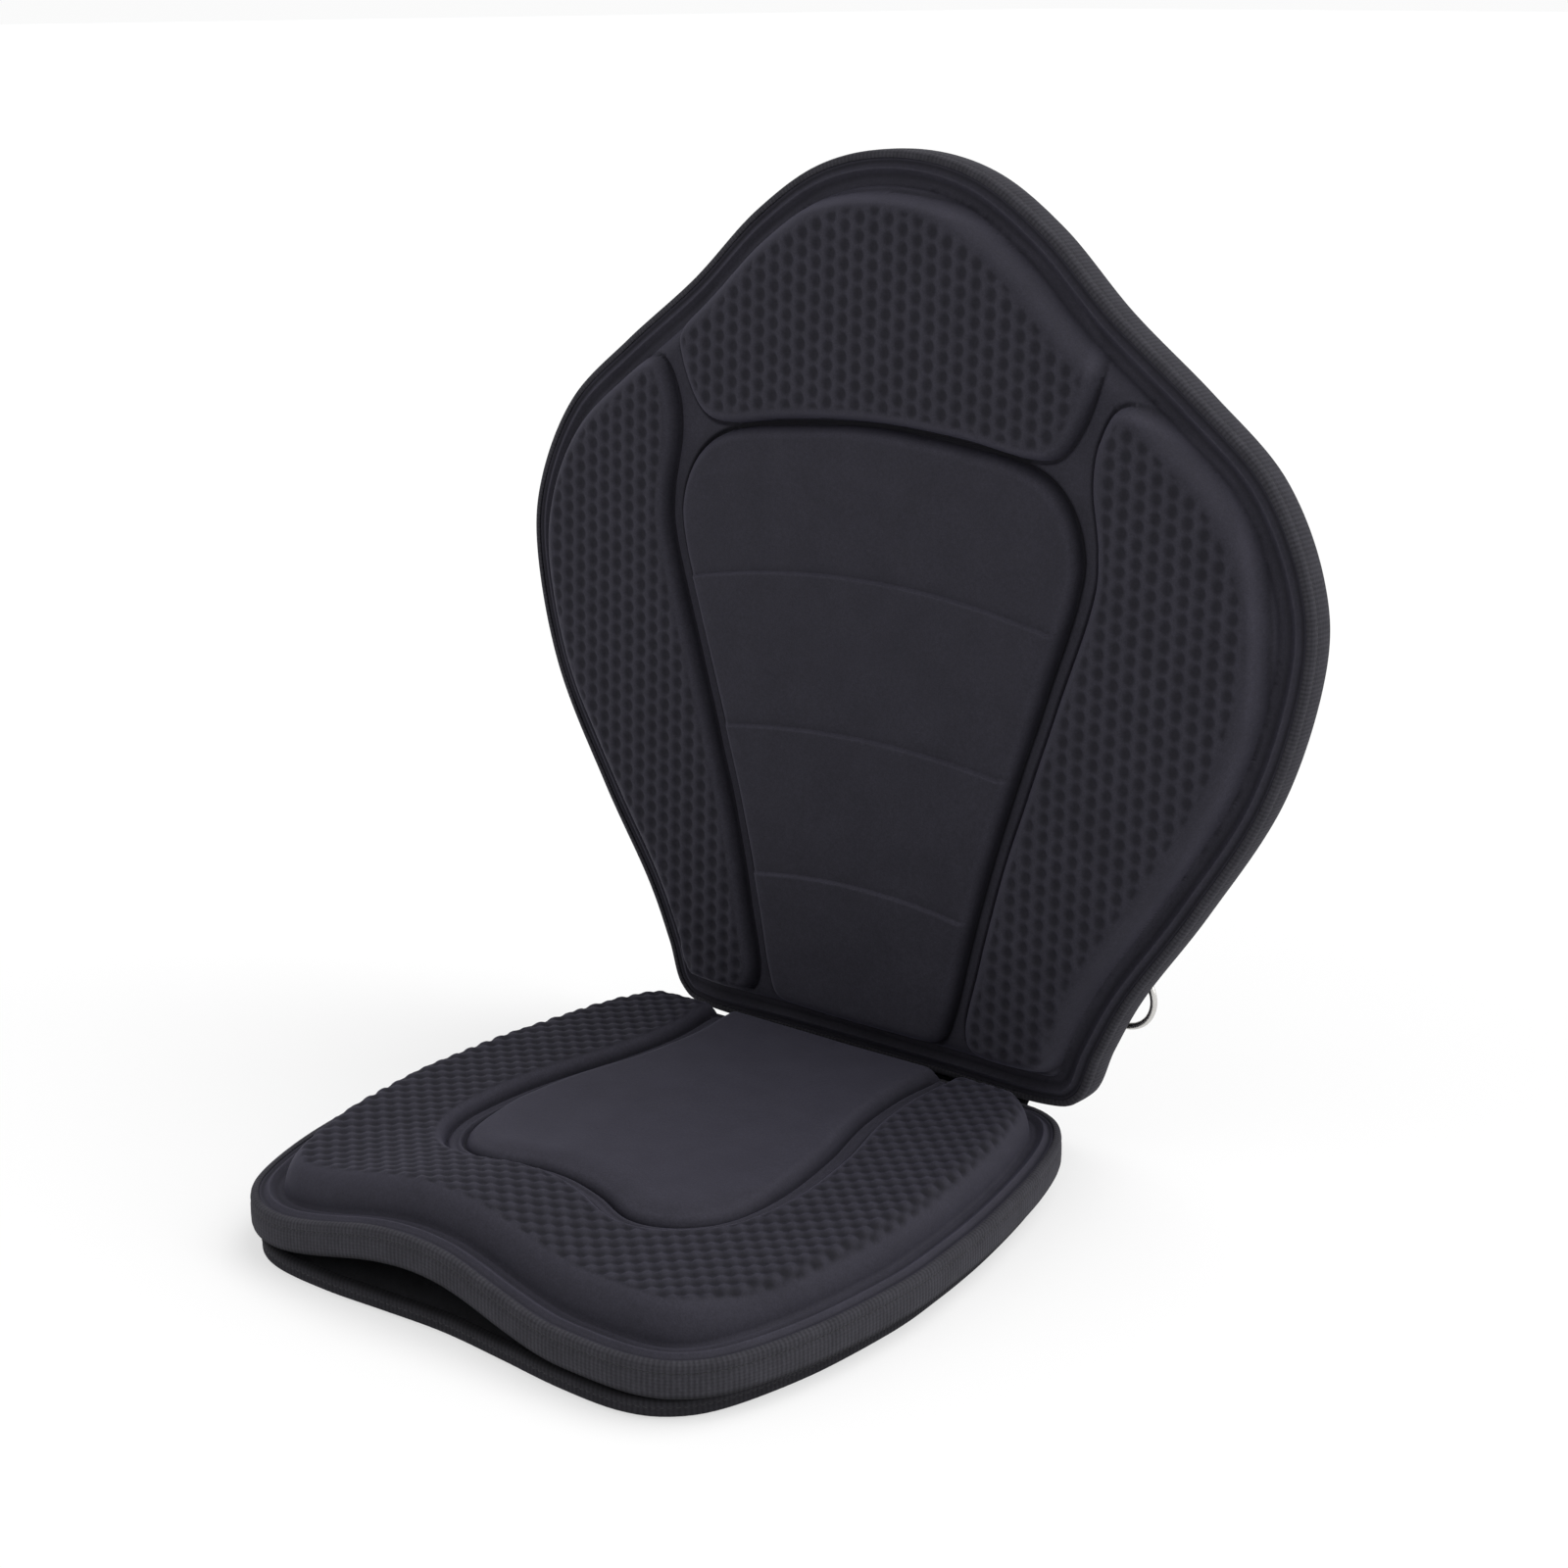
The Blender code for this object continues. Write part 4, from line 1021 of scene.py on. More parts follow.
def back_surface(points, sizes):
    """Height, sink, and painted shade and tone of the backrest's pads."""
    depth = back_fields(points)
    island = np.max([depth[name] for name in ("crown", "panel", "right", "left")], axis=0)
    pressed = np.max([depth[name] for name in ("crown", "right", "left")], axis=0)
    body = rounded_rise(depth["foot"], PAD_SLOPE)
    raised = rounded_rise(island, CHANNEL_SLOPE, WALL_POWER)
    height = BACK_FLANGE + PAD_RISE * body * (1 - CHANNEL_DEPTH_SHARE * (1 - raised))
    height += sizes.channel_ledge * body * eased((-island - 1.2 * MM) / (1.0 * MM))
    height += panel_form(points, depth["panel"], sizes) + gentle_waves(points, 12) * body
    height += rim_form(depth["edge"], depth["foot"], sizes)
    low_room = 0.12 * np.clip(0.06 - points[:, 1], 0, 0.06)
    mask = eased((depth["foot"] + low_room - 9 * MM) / (2 * MM)) * eased((pressed - 5 * MM) / (2 * MM))
    pits = pit_pattern(points, (sizes.back_pit_column, sizes.back_pit_row), lines=0.9, fine=0.1) * mask
    # Painted shade in the pits, the channels and above the ledges, and painted highlight on the nubs, the ledges,
    # the shoulders and the bead.
    painted_shade_and_tone = pit_shade_and_tone(BACK_SHADE_AND_TONE, mask, pits) + painted_ledge_lines(points, depth["panel"])
    painted_shade_and_tone -= PANEL_TONE * eased(depth["panel"] / CHANNEL_SLOPE)
    # Painted shade in the channels at the foot of the crown, the wings and the centre panel.
    lines = painted_light_lines(pressed, PRESSED_FOOT_SHADE) + painted_light_lines(depth["panel"], PANEL_GROOVE_SHADE)
    painted_shade_and_tone += lines * (depth["foot"] > 0)
    painted_shade_and_tone += painted_light_lines(island, ISLAND_HIGHLIGHT) + painted_rim_lines(depth["edge"], depth["foot"])
    return height, sizes.back_pit_depth / 2 * pits, np.clip(painted_shade_and_tone, 0, 1)


def back_shape_points(sizes):
    loops = back_loops(FINE_STEP)
    edge = inset(BACK_LOOP, EDGE_INSET)
    islands = [contours(loops[name], np.concatenate([WALL_LINES, LEDGE_LINES]))
               for name in ("panel", "crown", "right", "left")]
    low, high = BACK_LOOP.min(axis=0), BACK_LOOP.max(axis=0)
    pits = pit_grid(low, high, (sizes.back_pit_column, sizes.back_pit_row))
    pits = pits[(depth_inside(pits, loops["foot"]) > 7 * MM)]
    pressed = np.max([depth_inside(pits, loops[name]) for name in ("crown", "right", "left")], axis=0)
    pits = pits[pressed > 4.5 * MM]
    groups = [edge, contours(loops["foot"], SLOPE_LINES), contours(BACK_LOOP, RIM_LINES)]
    groups += inside_foot([*islands, ledge_lines(), pits], loops["foot"])
    return edge, filled(edge, groups, low, high)


# Edge tapes

NARROW_LIP = [(3.6, -0.6), (3.5, -0.2), (3.2, 0.0), (2.7, 0.05), (2.2, -0.02)]
WIDE_LEG = [(12.0, -0.45), (11.85, -0.12), (11.5, 0.0), (10.8, 0.02), (10.35, -0.12), (10.0, -0.25), (9.65, -0.12),
            (9.2, 0.02), (7.5, 0.06), (5.0, 0.06), (3.4, 0.02), (2.2, -0.02)]
WALL_STITCH_DROP = 0.0046
PUCKER_PITCH = 0.0034


def tape_section(low, high):
    """(inset, height) round a folded tape: a narrow lip above, a padded wall and a sewn leg below."""
    turns = np.radians([30, 55, 75])
    size = TAPE_ROUND / MM
    corner = [(size * (1 - math.sin(turn)), -size * (1 - math.cos(turn))) for turn in turns]
    upper = [(x * MM, high + z * MM) for x, z in NARROW_LIP + corner]
    lower = [(x * MM, low - z * MM) for x, z in reversed(WIDE_LEG + corner)]
    seam, bulge = high - WALL_STITCH_DROP, -0.45 * MM
    wall = [(0.0, high - TAPE_ROUND), (bulge / 2, high - 3.1 * MM), (0.0, seam + 0.5 * MM), (0.3 * MM, seam),
            (0.0, seam - 0.5 * MM)]
    if seam - low > 6 * MM:
        wall += [(bulge * 0.8, seam - 1.8 * MM), (bulge, (seam + low) / 2), (bulge * 0.8, low + 3.2 * MM)]
    wall.append((0.0, low + TAPE_ROUND))
    inside = [(TAPE_WIDTH, low + CLOTH), (5 * MM, low + CLOTH), (CLOTH, low + CLOTH),
              (CLOTH, high - CLOTH), (NARROW_LIP[0][0] * MM, high - CLOTH)]
    return np.array(upper + wall + lower + inside)


def edge_tape(name, loop, low, high, lift, place, look, body, seed, *nodes, dark_edge=None, tone=1.0):
    """A tape folded round an edge. It is darker near dark_edge's height, where another piece shades it."""
    section = tape_section(low, high)
    outer = len(section) - 5
    pucker = 0.09 * MM * np.sin(distances(loop) * 2 * math.pi / PUCKER_PITCH)
    pucker += 2 * gentle_waves(loop, seed, 0.1 * MM)
    rows = []
    for index, (inwards, height) in enumerate(section):
        flat = clean_inset(loop, inwards)
        raised = np.full(len(loop), height) + lift(flat)
        if index < outer:
            raised += pucker * np.sign(height - (low + high) / 2) * min(1, inwards / (4 * MM))
        rows.append(place(np.column_stack([flat, raised])))
    dark_edge = low if dark_edge is None else dark_edge
    shade = tone * (1 - 0.75 * hump(section[:, 1], dark_edge, 3.5 * MM))
    return add_piece(name, swept(name, rows, distances(section), shade), look, body, "edge_tape", *nodes)


def tape_stitches(loop, low, high, lift, place):
    """The stitch rows of a tape: one round its wall and one on the leg below."""
    flat = clean_inset(loop, 10 * MM)
    leg = np.column_stack([flat, low + 0.2 * MM + lift(flat)])
    wall = np.column_stack([inset(loop, 0.25 * MM), high - WALL_STITCH_DROP + lift(loop)])
    out = np.column_stack([-loop_normals(loop), np.zeros(len(loop))])
    return [stitch_row(leg, (0, 0, -1.0), place, True), stitch_row(wall, out, place, True)]


def same_place(points):
    return points


# Flat sheets

def sheet_points(loop, step):
    grid = open_grid(loop.min(axis=0), loop.max(axis=0), step)
    return grid[depth_inside(grid, loop) > step * 0.6]


def quilted(points, seed, height):
    """A sheet's slight slackness, never above its own plane."""
    waves = gentle_waves(points, seed, height)
    return waves - np.abs(waves).max()


def slack(points, loop, seed, height, start, run):
    """A covered panel's slackness, which begins this far inside its edge and grows over this run."""
    return quilted(points, seed, height) * eased((depth_inside(points, loop) - start) / run)


# Hinge cloth

HINGE_BAND = 0.9 * MM


def hinge_radius():
    """The radius that the hinge cloth hangs in, just outside the swing of the backrest's lower edge."""
    bottom = BACK_LOW - FOLD_ON_BACK
    rear = BACK_TAPE_REAR - FOLD_FRONT_OF_BACK_PAD
    corners = [(bottom + TAPE_ROUND, rear), (bottom, rear + TAPE_ROUND)]
    return max(math.hypot(*corner) for corner in corners) + HINGE_SWING_GAP + CLOTH / 2


def hinge_angles():
    at_seat = math.asin((SEAT_REAR + GAP - FOLD_Y) / hinge_radius()) - math.pi / 2
    start = max(HINGE_CLOTH_SWEEP[0], at_seat)
    return np.linspace(start, HINGE_CLOTH_SWEEP[1], 40)


def hinge_path():
    """The hinge cloth's middle line as (Y, Z): round the arc and up the back to the seam."""
    radius = hinge_radius()
    arc = [(FOLD_Y + radius * math.cos(a), FOLD_Z + radius * math.sin(a)) for a in hinge_angles()]
    low = BACK_LOW + SEAM_TAPE_BASE
    middle = REAR_FOAM_REAR - GAP - HINGE_BAND / 2
    flat = np.array([(0, height, middle) for height in (low - 6 * MM, low + 3 * MM)])
    rise = [tuple(point[1:]) for point in on_backrest(flat)]
    return evenly(np.array(arc[:-3] + rise), 0.0015)


def flat_band(name, path, xs, thickness, place=None):
    """A band of cloth along a path in the (Y, Z) plane, or on a drawing, across these positions."""
    normal = left_normals(np.gradient(path, axis=0)) * thickness / 2
    rim = thickness * 0.35
    section = [(x, 1.0) for x in xs] + [(xs[-1] + rim, 0.0)]
    section += [(x, -1.0) for x in xs[::-1]] + [(xs[0] - rim, 0.0)]
    rows = [np.column_stack([np.full(len(path), x), path + normal * side]) for x, side in section]
    if place:
        rows = [place(row) for row in rows]
    return swept(name, rows, np.array([x for x, _ in section]), caps=True)


# Straps

PATCH_TOP = GAP + CLOTH
PATCH_ROUND = 0.8 * MM
STRAP_HEIGHT = PATCH_TOP + GAP + CLOTH / 2
BAR_RADIUS = math.hypot(SLIDER_BAR, SLIDER_SIZE[2]) / 2 + GAP + CLOTH / 2
FOLD_RADIUS = max(RING_WIRE + GAP, BAR_RADIUS + GAP / 2) + CLOTH / 2
RING_HEIGHT = STRAP_HEIGHT + FOLD_RADIUS
SLIDER_HEIGHT = STRAP_HEIGHT + 2 * FOLD_RADIUS - BAR_RADIUS


def strap_place(side):
    """Takes (along the strap, across it, away from the back) to the real place."""
    across, up = STRAP_START
    start = Matrix.Translation((side * across, up - FOLD_ON_BACK, REAR_FOAM_REAR - FOLD_FRONT_OF_BACK_PAD))
    turn = -STRAP_ANGLE if side > 0 else math.pi + STRAP_ANGLE
    matrix = FOLD_FRAME @ start @ Euler((math.pi, 0, -turn)).to_matrix().to_4x4()
    return lambda points: moved_by(matrix, np.asarray(points, float))


def arc_points(centre, radius, start, end, count=17):
    angles = np.radians(np.linspace(start, end, count))
    return [(centre[0] + radius * math.cos(a), centre[1] + radius * math.sin(a)) for a in angles]


def strap_path():
    """The folded strap's middle line: along the back, round the ring, back and round the slider's bar."""
    points = [(0.0, STRAP_HEIGHT)]
    points += arc_points((STRAP_LENGTH, RING_HEIGHT), FOLD_RADIUS, -90, 90)
    points += arc_points((SLIDER_PLACE, SLIDER_HEIGHT), BAR_RADIUS, 90, 270)
    points.append((SLIDER_PLACE + STRAP_TAIL, SLIDER_HEIGHT - BAR_RADIUS))
    return evenly(np.array(points), 0.0007)


def strap_mesh(name, place):
    path = strap_path()
    normal = left_normals(np.gradient(path, axis=0))
    half, thick, edge = STRAP_WIDTH / 2, CLOTH / 2, 0.5 * MM
    section = [(x, thick) for x in np.linspace(-half + edge, half - edge, 9)]
    section += [(half - edge * 0.3, thick * 0.7), (half, 0.0), (half - edge * 0.3, -thick * 0.7)]
    section += [(-x, -z) for x, z in section]
    rows = []
    for x, z in section:
        moved = path + normal * z
        rows.append(place(np.column_stack([moved[:, 0], np.full(len(path), x), moved[:, 1]])))
    return swept(name, rows, np.array([x + half for x, _ in section]), caps=True)


def ring_mesh(name, place, sides=14):
    """A D ring of round wire: a straight bar in the strap's fold and a bow outside it."""
    half = RING_WIDTH / 2 - RING_WIRE
    bow = [(STRAP_LENGTH + RING_REACH * math.sin(turn), -half * math.cos(turn))
           for turn in np.linspace(0, math.pi, 24)]
    bow = smooth_loop([(STRAP_LENGTH, 0.0)] + bow, 0.001)
    normal = loop_normals(bow)
    turns = np.arange(sides) * 2 * math.pi / sides
    rows = []
    for turn in turns:
        height = np.full(len(bow), RING_HEIGHT + RING_WIRE * math.sin(turn))
        rows.append(place(np.column_stack([bow + normal * RING_WIRE * math.cos(turn), height])))
    return swept(name, rows, turns * RING_WIRE)


def slider_mesh(name, place):
    """A flat three-bar slider with rounded edges."""
    length, width, thickness = SLIDER_SIZE
    x = SLIDER_PLACE
    rows = [x - length / 2, x - length / 2 + SLIDER_RIM, x - SLIDER_BAR / 2, x + SLIDER_BAR / 2,
            x + length / 2 - SLIDER_RIM, x + length / 2]
    inner = STRAP_WIDTH / 2 + SLIDER_ROOM
    columns = [-width / 2, -inner, inner, width / 2]
    bm = bmesh.new()
    low = SLIDER_HEIGHT - thickness / 2
    grid = [[bm.verts.new((row, column, low)) for column in columns] for row in rows]
    faces = [bm.faces.new((grid[i][j], grid[i + 1][j], grid[i + 1][j + 1], grid[i][j + 1]))
             for i in range(5) for j in range(3) if not (j == 1 and i in (1, 3))]
    raised = bmesh.ops.extrude_face_region(bm, geom=faces)
    for item in raised["geom"]:
        if isinstance(item, bmesh.types.BMVert):
            item.co.z += thickness
    bmesh.ops.recalc_face_normals(bm, faces=bm.faces[:])
    corners = [edge for edge in bm.edges if edge.calc_face_angle(0) > 1
               and all(abs(abs(vert.co.y) - width / 2) < 1e-6 for vert in edge.verts)
               and abs(edge.verts[0].co.z - edge.verts[1].co.z) > 1e-6]
    bmesh.ops.bevel(bm, geom=corners, offset=0.0035, segments=6, affect="EDGES", profile=0.5)
    sharp = [edge for edge in bm.edges if edge.calc_face_angle(0) > 1]
    bmesh.ops.bevel(bm, geom=sharp, offset=0.0005, segments=3, affect="EDGES", profile=0.5)
    for vert in bm.verts:
        vert.co = Vector(place([vert.co])[0])
    bmesh.ops.recalc_face_normals(bm, faces=bm.faces[:])
    mesh = bpy.data.meshes.new(name)
    bm.to_mesh(mesh)
    bm.free()
    mesh.shade_smooth()
    return mesh


def rounded_rectangle(length, width, radius, step):
    """A closed loop round a rectangle with round corners."""
    points = []
    for x, y, start in ((1, 1, 0), (-1, 1, 90), (-1, -1, 180), (1, -1, 270)):
        centre = (x * (length / 2 - radius), y * (width / 2 - radius))
        points += arc_points(centre, radius, start, start + 90, 7)
    return turned_left(evenly(np.array(points), step, closed=True))


def rectangle_path(low, high, z, place, crossed=False):
    """Stitch rows round a rectangle, and corner to corner across it where it is crossed."""
    corners = [(low[0], low[1]), (high[0], low[1]), (high[0], high[1]), (low[0], high[1])]
    pairs = [(corners[i], corners[(i + 1) % 4]) for i in range(4)]
    if crossed:
        pairs += [(corners[0], corners[2]), (corners[1], corners[3])]
    rows = []
    for start, end in pairs:
        path = evenly(np.array([(*start, z), (*end, z)]), 1 * MM)
        rows.append(stitch_row(path, (0, 0, 1), place))
    return rows


# Stage

# (name, the direction that it shines from, strength, angle across it)
SUNS = (("key_light", (0.35, 0.35, 1.0), 1.9, 50), ("rim_light", (1.0, 0.45, 0.55), 0.7, 35),
        ("fill_light", (-0.8, -1.0, 0.6), 0.35, 60))
# How much of the floor that the camera sees is plain white, so that the rest can hold the shadow
FLOOR_GLOW = 0.62
WORLD_SEEN = 0.96
WORLD_LIGHT = 0.5
# The photo's own view
CAMERA_PLACE = (0.7164, -0.8573, 0.5600)
CAMERA_TURN = (math.radians(72.70), 0, math.radians(37.02))
CAMERA_LENS = 59.13


def add_floor(colours):
    bpy.ops.mesh.primitive_plane_add(size=60, location=(0, 20, -0.0002))
    floor = bpy.context.object
    floor.name = "studio_floor"
    look = bpy.data.materials.new("studio_floor")
    look.use_nodes = True
    tree = look.node_tree
    shader, out = shader_of(look), tree.nodes["Material Output"]
    shader.inputs["Base Color"].default_value = (*colours.floor, 1)
    shader.inputs["Roughness"].default_value = 0.9
    shader.inputs["Specular IOR Level"].default_value = 0.0
    glow = node(look, "Emission", [("Color", (1, 1, 1, 1)), ("Strength", 1.0)])
    seen = seen_rays(look)
    share = maths(look, "MULTIPLY", seen, FLOOR_GLOW)
    lit = node(look, "MixShader", [(0, share), (1, shader.outputs[0]), (2, glow)])
    tree.links.new(lit, out.inputs["Surface"])
    floor.data.materials.append(look)


def seen_rays(look):
    """1 for the rays that the camera, metal or glass sees directly."""
    made = look.node_tree.nodes.new("ShaderNodeLightPath").outputs
    return maths(look, "MAXIMUM", made["Is Camera Ray"],
                 maths(look, "MAXIMUM", made["Is Glossy Ray"], made["Is Transmission Ray"]))


def add_world():
    world = bpy.data.worlds.new("studio")
    bpy.context.scene.world = world
    world.use_nodes = True
    sky = world.node_tree.nodes["Background"]
    strength = node(world, "MapRange", [(0, seen_rays(world)), (3, WORLD_LIGHT), (4, WORLD_SEEN)])
    sky.inputs["Color"].default_value = (1, 1, 1, 1)
    world.node_tree.links.new(strength, sky.inputs["Strength"])


def add_sun(name, direction, strength, angle):
    """A wide sun that shines from this direction."""
    light = bpy.data.lights.new(name, "SUN")
    light.energy, light.angle = strength, math.radians(angle)
    lamp = bpy.data.objects.new(name, light)
    lamp.rotation_euler = Vector(direction).to_track_quat("Z", "Y").to_euler()
    bpy.context.scene.collection.objects.link(lamp)


def add_camera(scene):
    camera = bpy.data.objects.new("photo_view", bpy.data.cameras.new("photo_view"))
    scene.collection.objects.link(camera)
    camera.data.sensor_width, camera.data.lens = 36, CAMERA_LENS
    camera.location, camera.rotation_euler = CAMERA_PLACE, CAMERA_TURN
    scene.camera = camera


# Operators

class KayakSeatStep:
    """What every step shares: its colours, its sizes and the way it ends."""

    bl_options = {"REGISTER", "UNDO"}

    def execute(self, context):
        self.build(context.scene.kayak_seat_sizes, context.scene.kayak_seat_colours)
        return {"FINISHED"}


class KAYAKSEAT_OT_stage(KayakSeatStep, bpy.types.Operator):
    """Add the pale floor, the soft studio light and the camera."""

    bl_idname = "kayakseat.stage"
    bl_label = "Studio and Camera"

    def build(self, sizes, colours):
        scene = bpy.context.scene
        scene.view_settings.view_transform = "Standard"
        add_floor(colours)
        add_world()
        for name, direction, strength, angle in SUNS:
            add_sun(name, direction, strength, angle)
        add_camera(scene)


class KAYAKSEAT_OT_seat_pad(KayakSeatStep, bpy.types.Operator):
    """Add the seat's moulded pad and the thin lining under it."""

    bl_idname = "kayakseat.seat_pad"
    bl_label = "Seat Pad"

    def build(self, sizes, colours):
        edge, inner = seat_shape_points(sizes)
        grid = sheet_points(edge, 9 * MM)

        def lifted(points):
            return points + np.column_stack([np.zeros((len(points), 2)), seat_arch(points)])

        mesh = slab("seat_padding", edge, inner, lambda flat: seat_surface(flat, sizes),
                    level(SEAT_FOAM_LOW), lifted, grid)
        look = look_named("pad_fabric", pad_fabric, colours)
        add_piece("seat_padding", mesh, look, "seat", "pad_fabric", "seat_pad_shell")
        self.add_lining(colours, lifted)

    def add_lining(self, colours, lifted):
        loop = inset(SEAT_LOOP, CLOTH_INSET)
        grid = sheet_points(loop, 5 * MM)
        top = SEAT_TAPE_LOW + CLOTH

        def upper(flat):
            return plain_top(top + slack(flat, loop, 21, 0.1 * MM, 0, 0.01))

        mesh = slab("seat_pad_underlining", loop, grid, upper, level(SEAT_TAPE_LOW), lifted, grid)
        look = look_named("lining_cloth", lining_nylon, colours)
        piece = add_piece("seat_pad_underlining", mesh, look, "seat", "lining_cloth",
                          "seat_pad_lining")


class KAYAKSEAT_OT_seat_edges(KayakSeatStep, bpy.types.Operator):
    """Add the tapes round the seat pad and the base, with their stitching."""

    bl_idname = "kayakseat.seat_edges"
    bl_label = "Seat Edge Tapes"

    def build(self, sizes, colours):
        tape = look_named("edge_tape", ribbed_tape, colours)
        thread = look_named("sewing_thread", thread_look, colours)
        edge_tape("seat_pad_edge_tape", SEAT_LOOP, SEAT_TAPE_LOW, SEAT_TAPE_HIGH, seat_arch, same_place, tape,
                  "seat", 31, "seat_pad_binding")
        edge_tape("seat_base_edge_tape", BASE_LOOP, GAP, BASE_TAPE_HIGH, no_lift, same_place, tape,
                  "seat", 32, "seat_base_binding", dark_edge=BASE_TAPE_HIGH, tone=0.62)
        rows = tape_stitches(SEAT_LOOP, SEAT_TAPE_LOW, SEAT_TAPE_HIGH, seat_arch, same_place)
        rows += tape_stitches(BASE_LOOP, GAP, BASE_TAPE_HIGH, no_lift, same_place)
        stitching("seat_edge_stitching", rows, thread, "seat", sizes)


class KAYAKSEAT_OT_seat_base(KayakSeatStep, bpy.types.Operator):
    """Add the flat padded base and the grip cloth under it."""

    bl_idname = "kayakseat.seat_base"
    bl_label = "Seat Base"

    def build(self, sizes, colours):
        loop = inset(BASE_LOOP, EDGE_INSET)
        grid = sheet_points(loop, 6 * MM)

        def upper(flat):
            return plain_top(BASE_FOAM_HIGH + slack(flat, loop, 41, 0.15 * MM, 0.01, 0.02))

        mesh = slab("seat_base_cover", loop, grid, upper, level(BASE_FOAM_LOW), same_place)
        look = look_named("lining_cloth", lining_nylon, colours)
        piece = add_piece("seat_base_cover", mesh, look, "seat", "lining_cloth", "seat_base_panel")
        self.add_grip(colours)

    def add_grip(self, colours):
        loop = inset(BASE_LOOP, CLOTH_INSET)
        grid = sheet_points(loop, 8 * MM)

        def upper(flat):
            return plain_top(CLOTH + slack(flat, loop, 42, 0.08 * MM, 0, 0.01))

        mesh = slab("seat_grip", loop, grid, upper, level(0.0), same_place)
        look = look_named("grip_cloth", dotted_grip, colours)
        piece = add_piece("seat_grip", mesh, look, "seat", "grip_cloth", "seat_grip_sheet")


class KAYAKSEAT_OT_backrest_pad(KayakSeatStep, bpy.types.Operator):
    """Add the backrest's moulded pads."""

    bl_idname = "kayakseat.backrest_pad"
    bl_label = "Backrest Pad"

    def build(self, sizes, colours):
        edge, inner = back_shape_points(sizes)
        mesh = slab("backrest_padding", edge, inner, lambda flat: back_surface(flat, sizes),
                    level(BACK_FOAM_REAR), on_backrest)
        look = look_named("pad_fabric", pad_fabric, colours)
        piece = add_piece("backrest_padding", mesh, look, "backrest", "pad_fabric", "backrest_shell")


class KAYAKSEAT_OT_backrest_edge(KayakSeatStep, bpy.types.Operator):
    """Add the tape round the backrest, with its stitching."""

    bl_idname = "kayakseat.backrest_edge"
    bl_label = "Backrest Edge Tape"

    def build(self, sizes, colours):
        tape = look_named("edge_tape", ribbed_tape, colours)
        thread = look_named("sewing_thread", thread_look, colours)
        edge_tape("backrest_edge_tape", BACK_LOOP, BACK_TAPE_REAR, BACK_TAPE_FRONT, no_lift, on_backrest, tape,
                  "backrest", 33, "backrest_binding")
        rows = tape_stitches(BACK_LOOP, BACK_TAPE_REAR, BACK_TAPE_FRONT, no_lift, on_backrest)
        stitching("backrest_edge_stitching", rows, thread, "backrest", sizes)


class KAYAKSEAT_OT_backrest_rear(KayakSeatStep, bpy.types.Operator):
    """Add the padded cloth on the back, and finish the board behind the pads."""

    bl_idname = "kayakseat.backrest_rear"
    bl_label = "Backrest Rear"

    def build(self, sizes, colours):
        loop = inset(BACK_LOOP, EDGE_INSET)
        grid = sheet_points(loop, 5 * MM)

        def front(flat):
            return plain_top(np.full(len(flat), REAR_FOAM_FRONT))

        def rear(flat):
            return REAR_FOAM_REAR - slack(flat, loop, 51, 0.2 * MM, 0.011, 0.015)

        mesh = slab("backrest_rear_cover", loop, (), front, rear, on_backrest, grid)
        look = look_named("rear_fabric", rear_oxford, colours)
        piece = add_piece("backrest_rear_cover", mesh, look, "backrest", "rear_fabric", "backrest_rear_panel")
        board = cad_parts["backrest_stiffener"]
        board.data.materials.clear()
        board.data.materials.append(look_named("stiffener_plastic", board_plastic, colours))


class KAYAKSEAT_OT_hinge(KayakSeatStep, bpy.types.Operator):
    """Add the cloth that joins the backrest to the seat, and the tape over its seam."""

    bl_idname = "kayakseat.hinge"
    bl_label = "Cloth Hinge"

    def build(self, sizes, colours):
        look = look_named("hinge_cloth", hinge_weave, colours)
        path = hinge_path()
        half = HINGE_CLOTH_WIDTH / 2
        mesh = flat_band("hinge_band", path, np.linspace(-half, half, 61), HINGE_BAND)
        piece = add_piece("hinge_band", mesh, look, None, "lining_cloth", "hinge_cloth")
        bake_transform(piece)
        self.add_seam(sizes, colours)

    def add_seam(self, sizes, colours):
        low = BACK_LOW + SEAM_TAPE_BASE
        top = REAR_FOAM_REAR - GAP
        over = top - HINGE_BAND
        profile = np.array([(low - 2.5 * MM, over - 0.3 * MM), (low + 2 * MM, over - 0.3 * MM),
                            (low + 4.5 * MM, top - 0.55 * MM), (low + 14 * MM, top - 0.5 * MM),
                            (low + SEAM_TAPE_HEIGHT, top - 0.5 * MM)])
        profile = evenly(profile, 0.0012)
        half = HINGE_CLOTH_WIDTH / 2 + 1.5 * MM
        mesh = flat_band("seam_tape", profile, np.linspace(-half, half, 61), HINGE_BAND, on_backrest)
        look = look_named("seam_tape", seam_weave, colours)
        piece = add_piece("seam_tape", mesh, look, "backrest", "rear_fabric", "hinge_seam_tape")
        rows = []
        xs = np.arange(-half + 2 * MM, half - 2 * MM, 2 * MM)
        for up, forward in ((low + 0.2 * MM, over - 0.78 * MM),
                            (low + SEAM_TAPE_HEIGHT - 2.5 * MM, top - 0.95 * MM),
                            (low + 8 * MM, top - 0.97 * MM)):
            path = np.column_stack([xs, np.full(len(xs), up), np.full(len(xs), forward)])
            rows.append(stitch_row(path, (0, 0, -1), on_backrest))
        thread = look_named("sewing_thread", thread_look, colours)
        stitching("seam_stitching", rows, thread, "backrest", sizes)


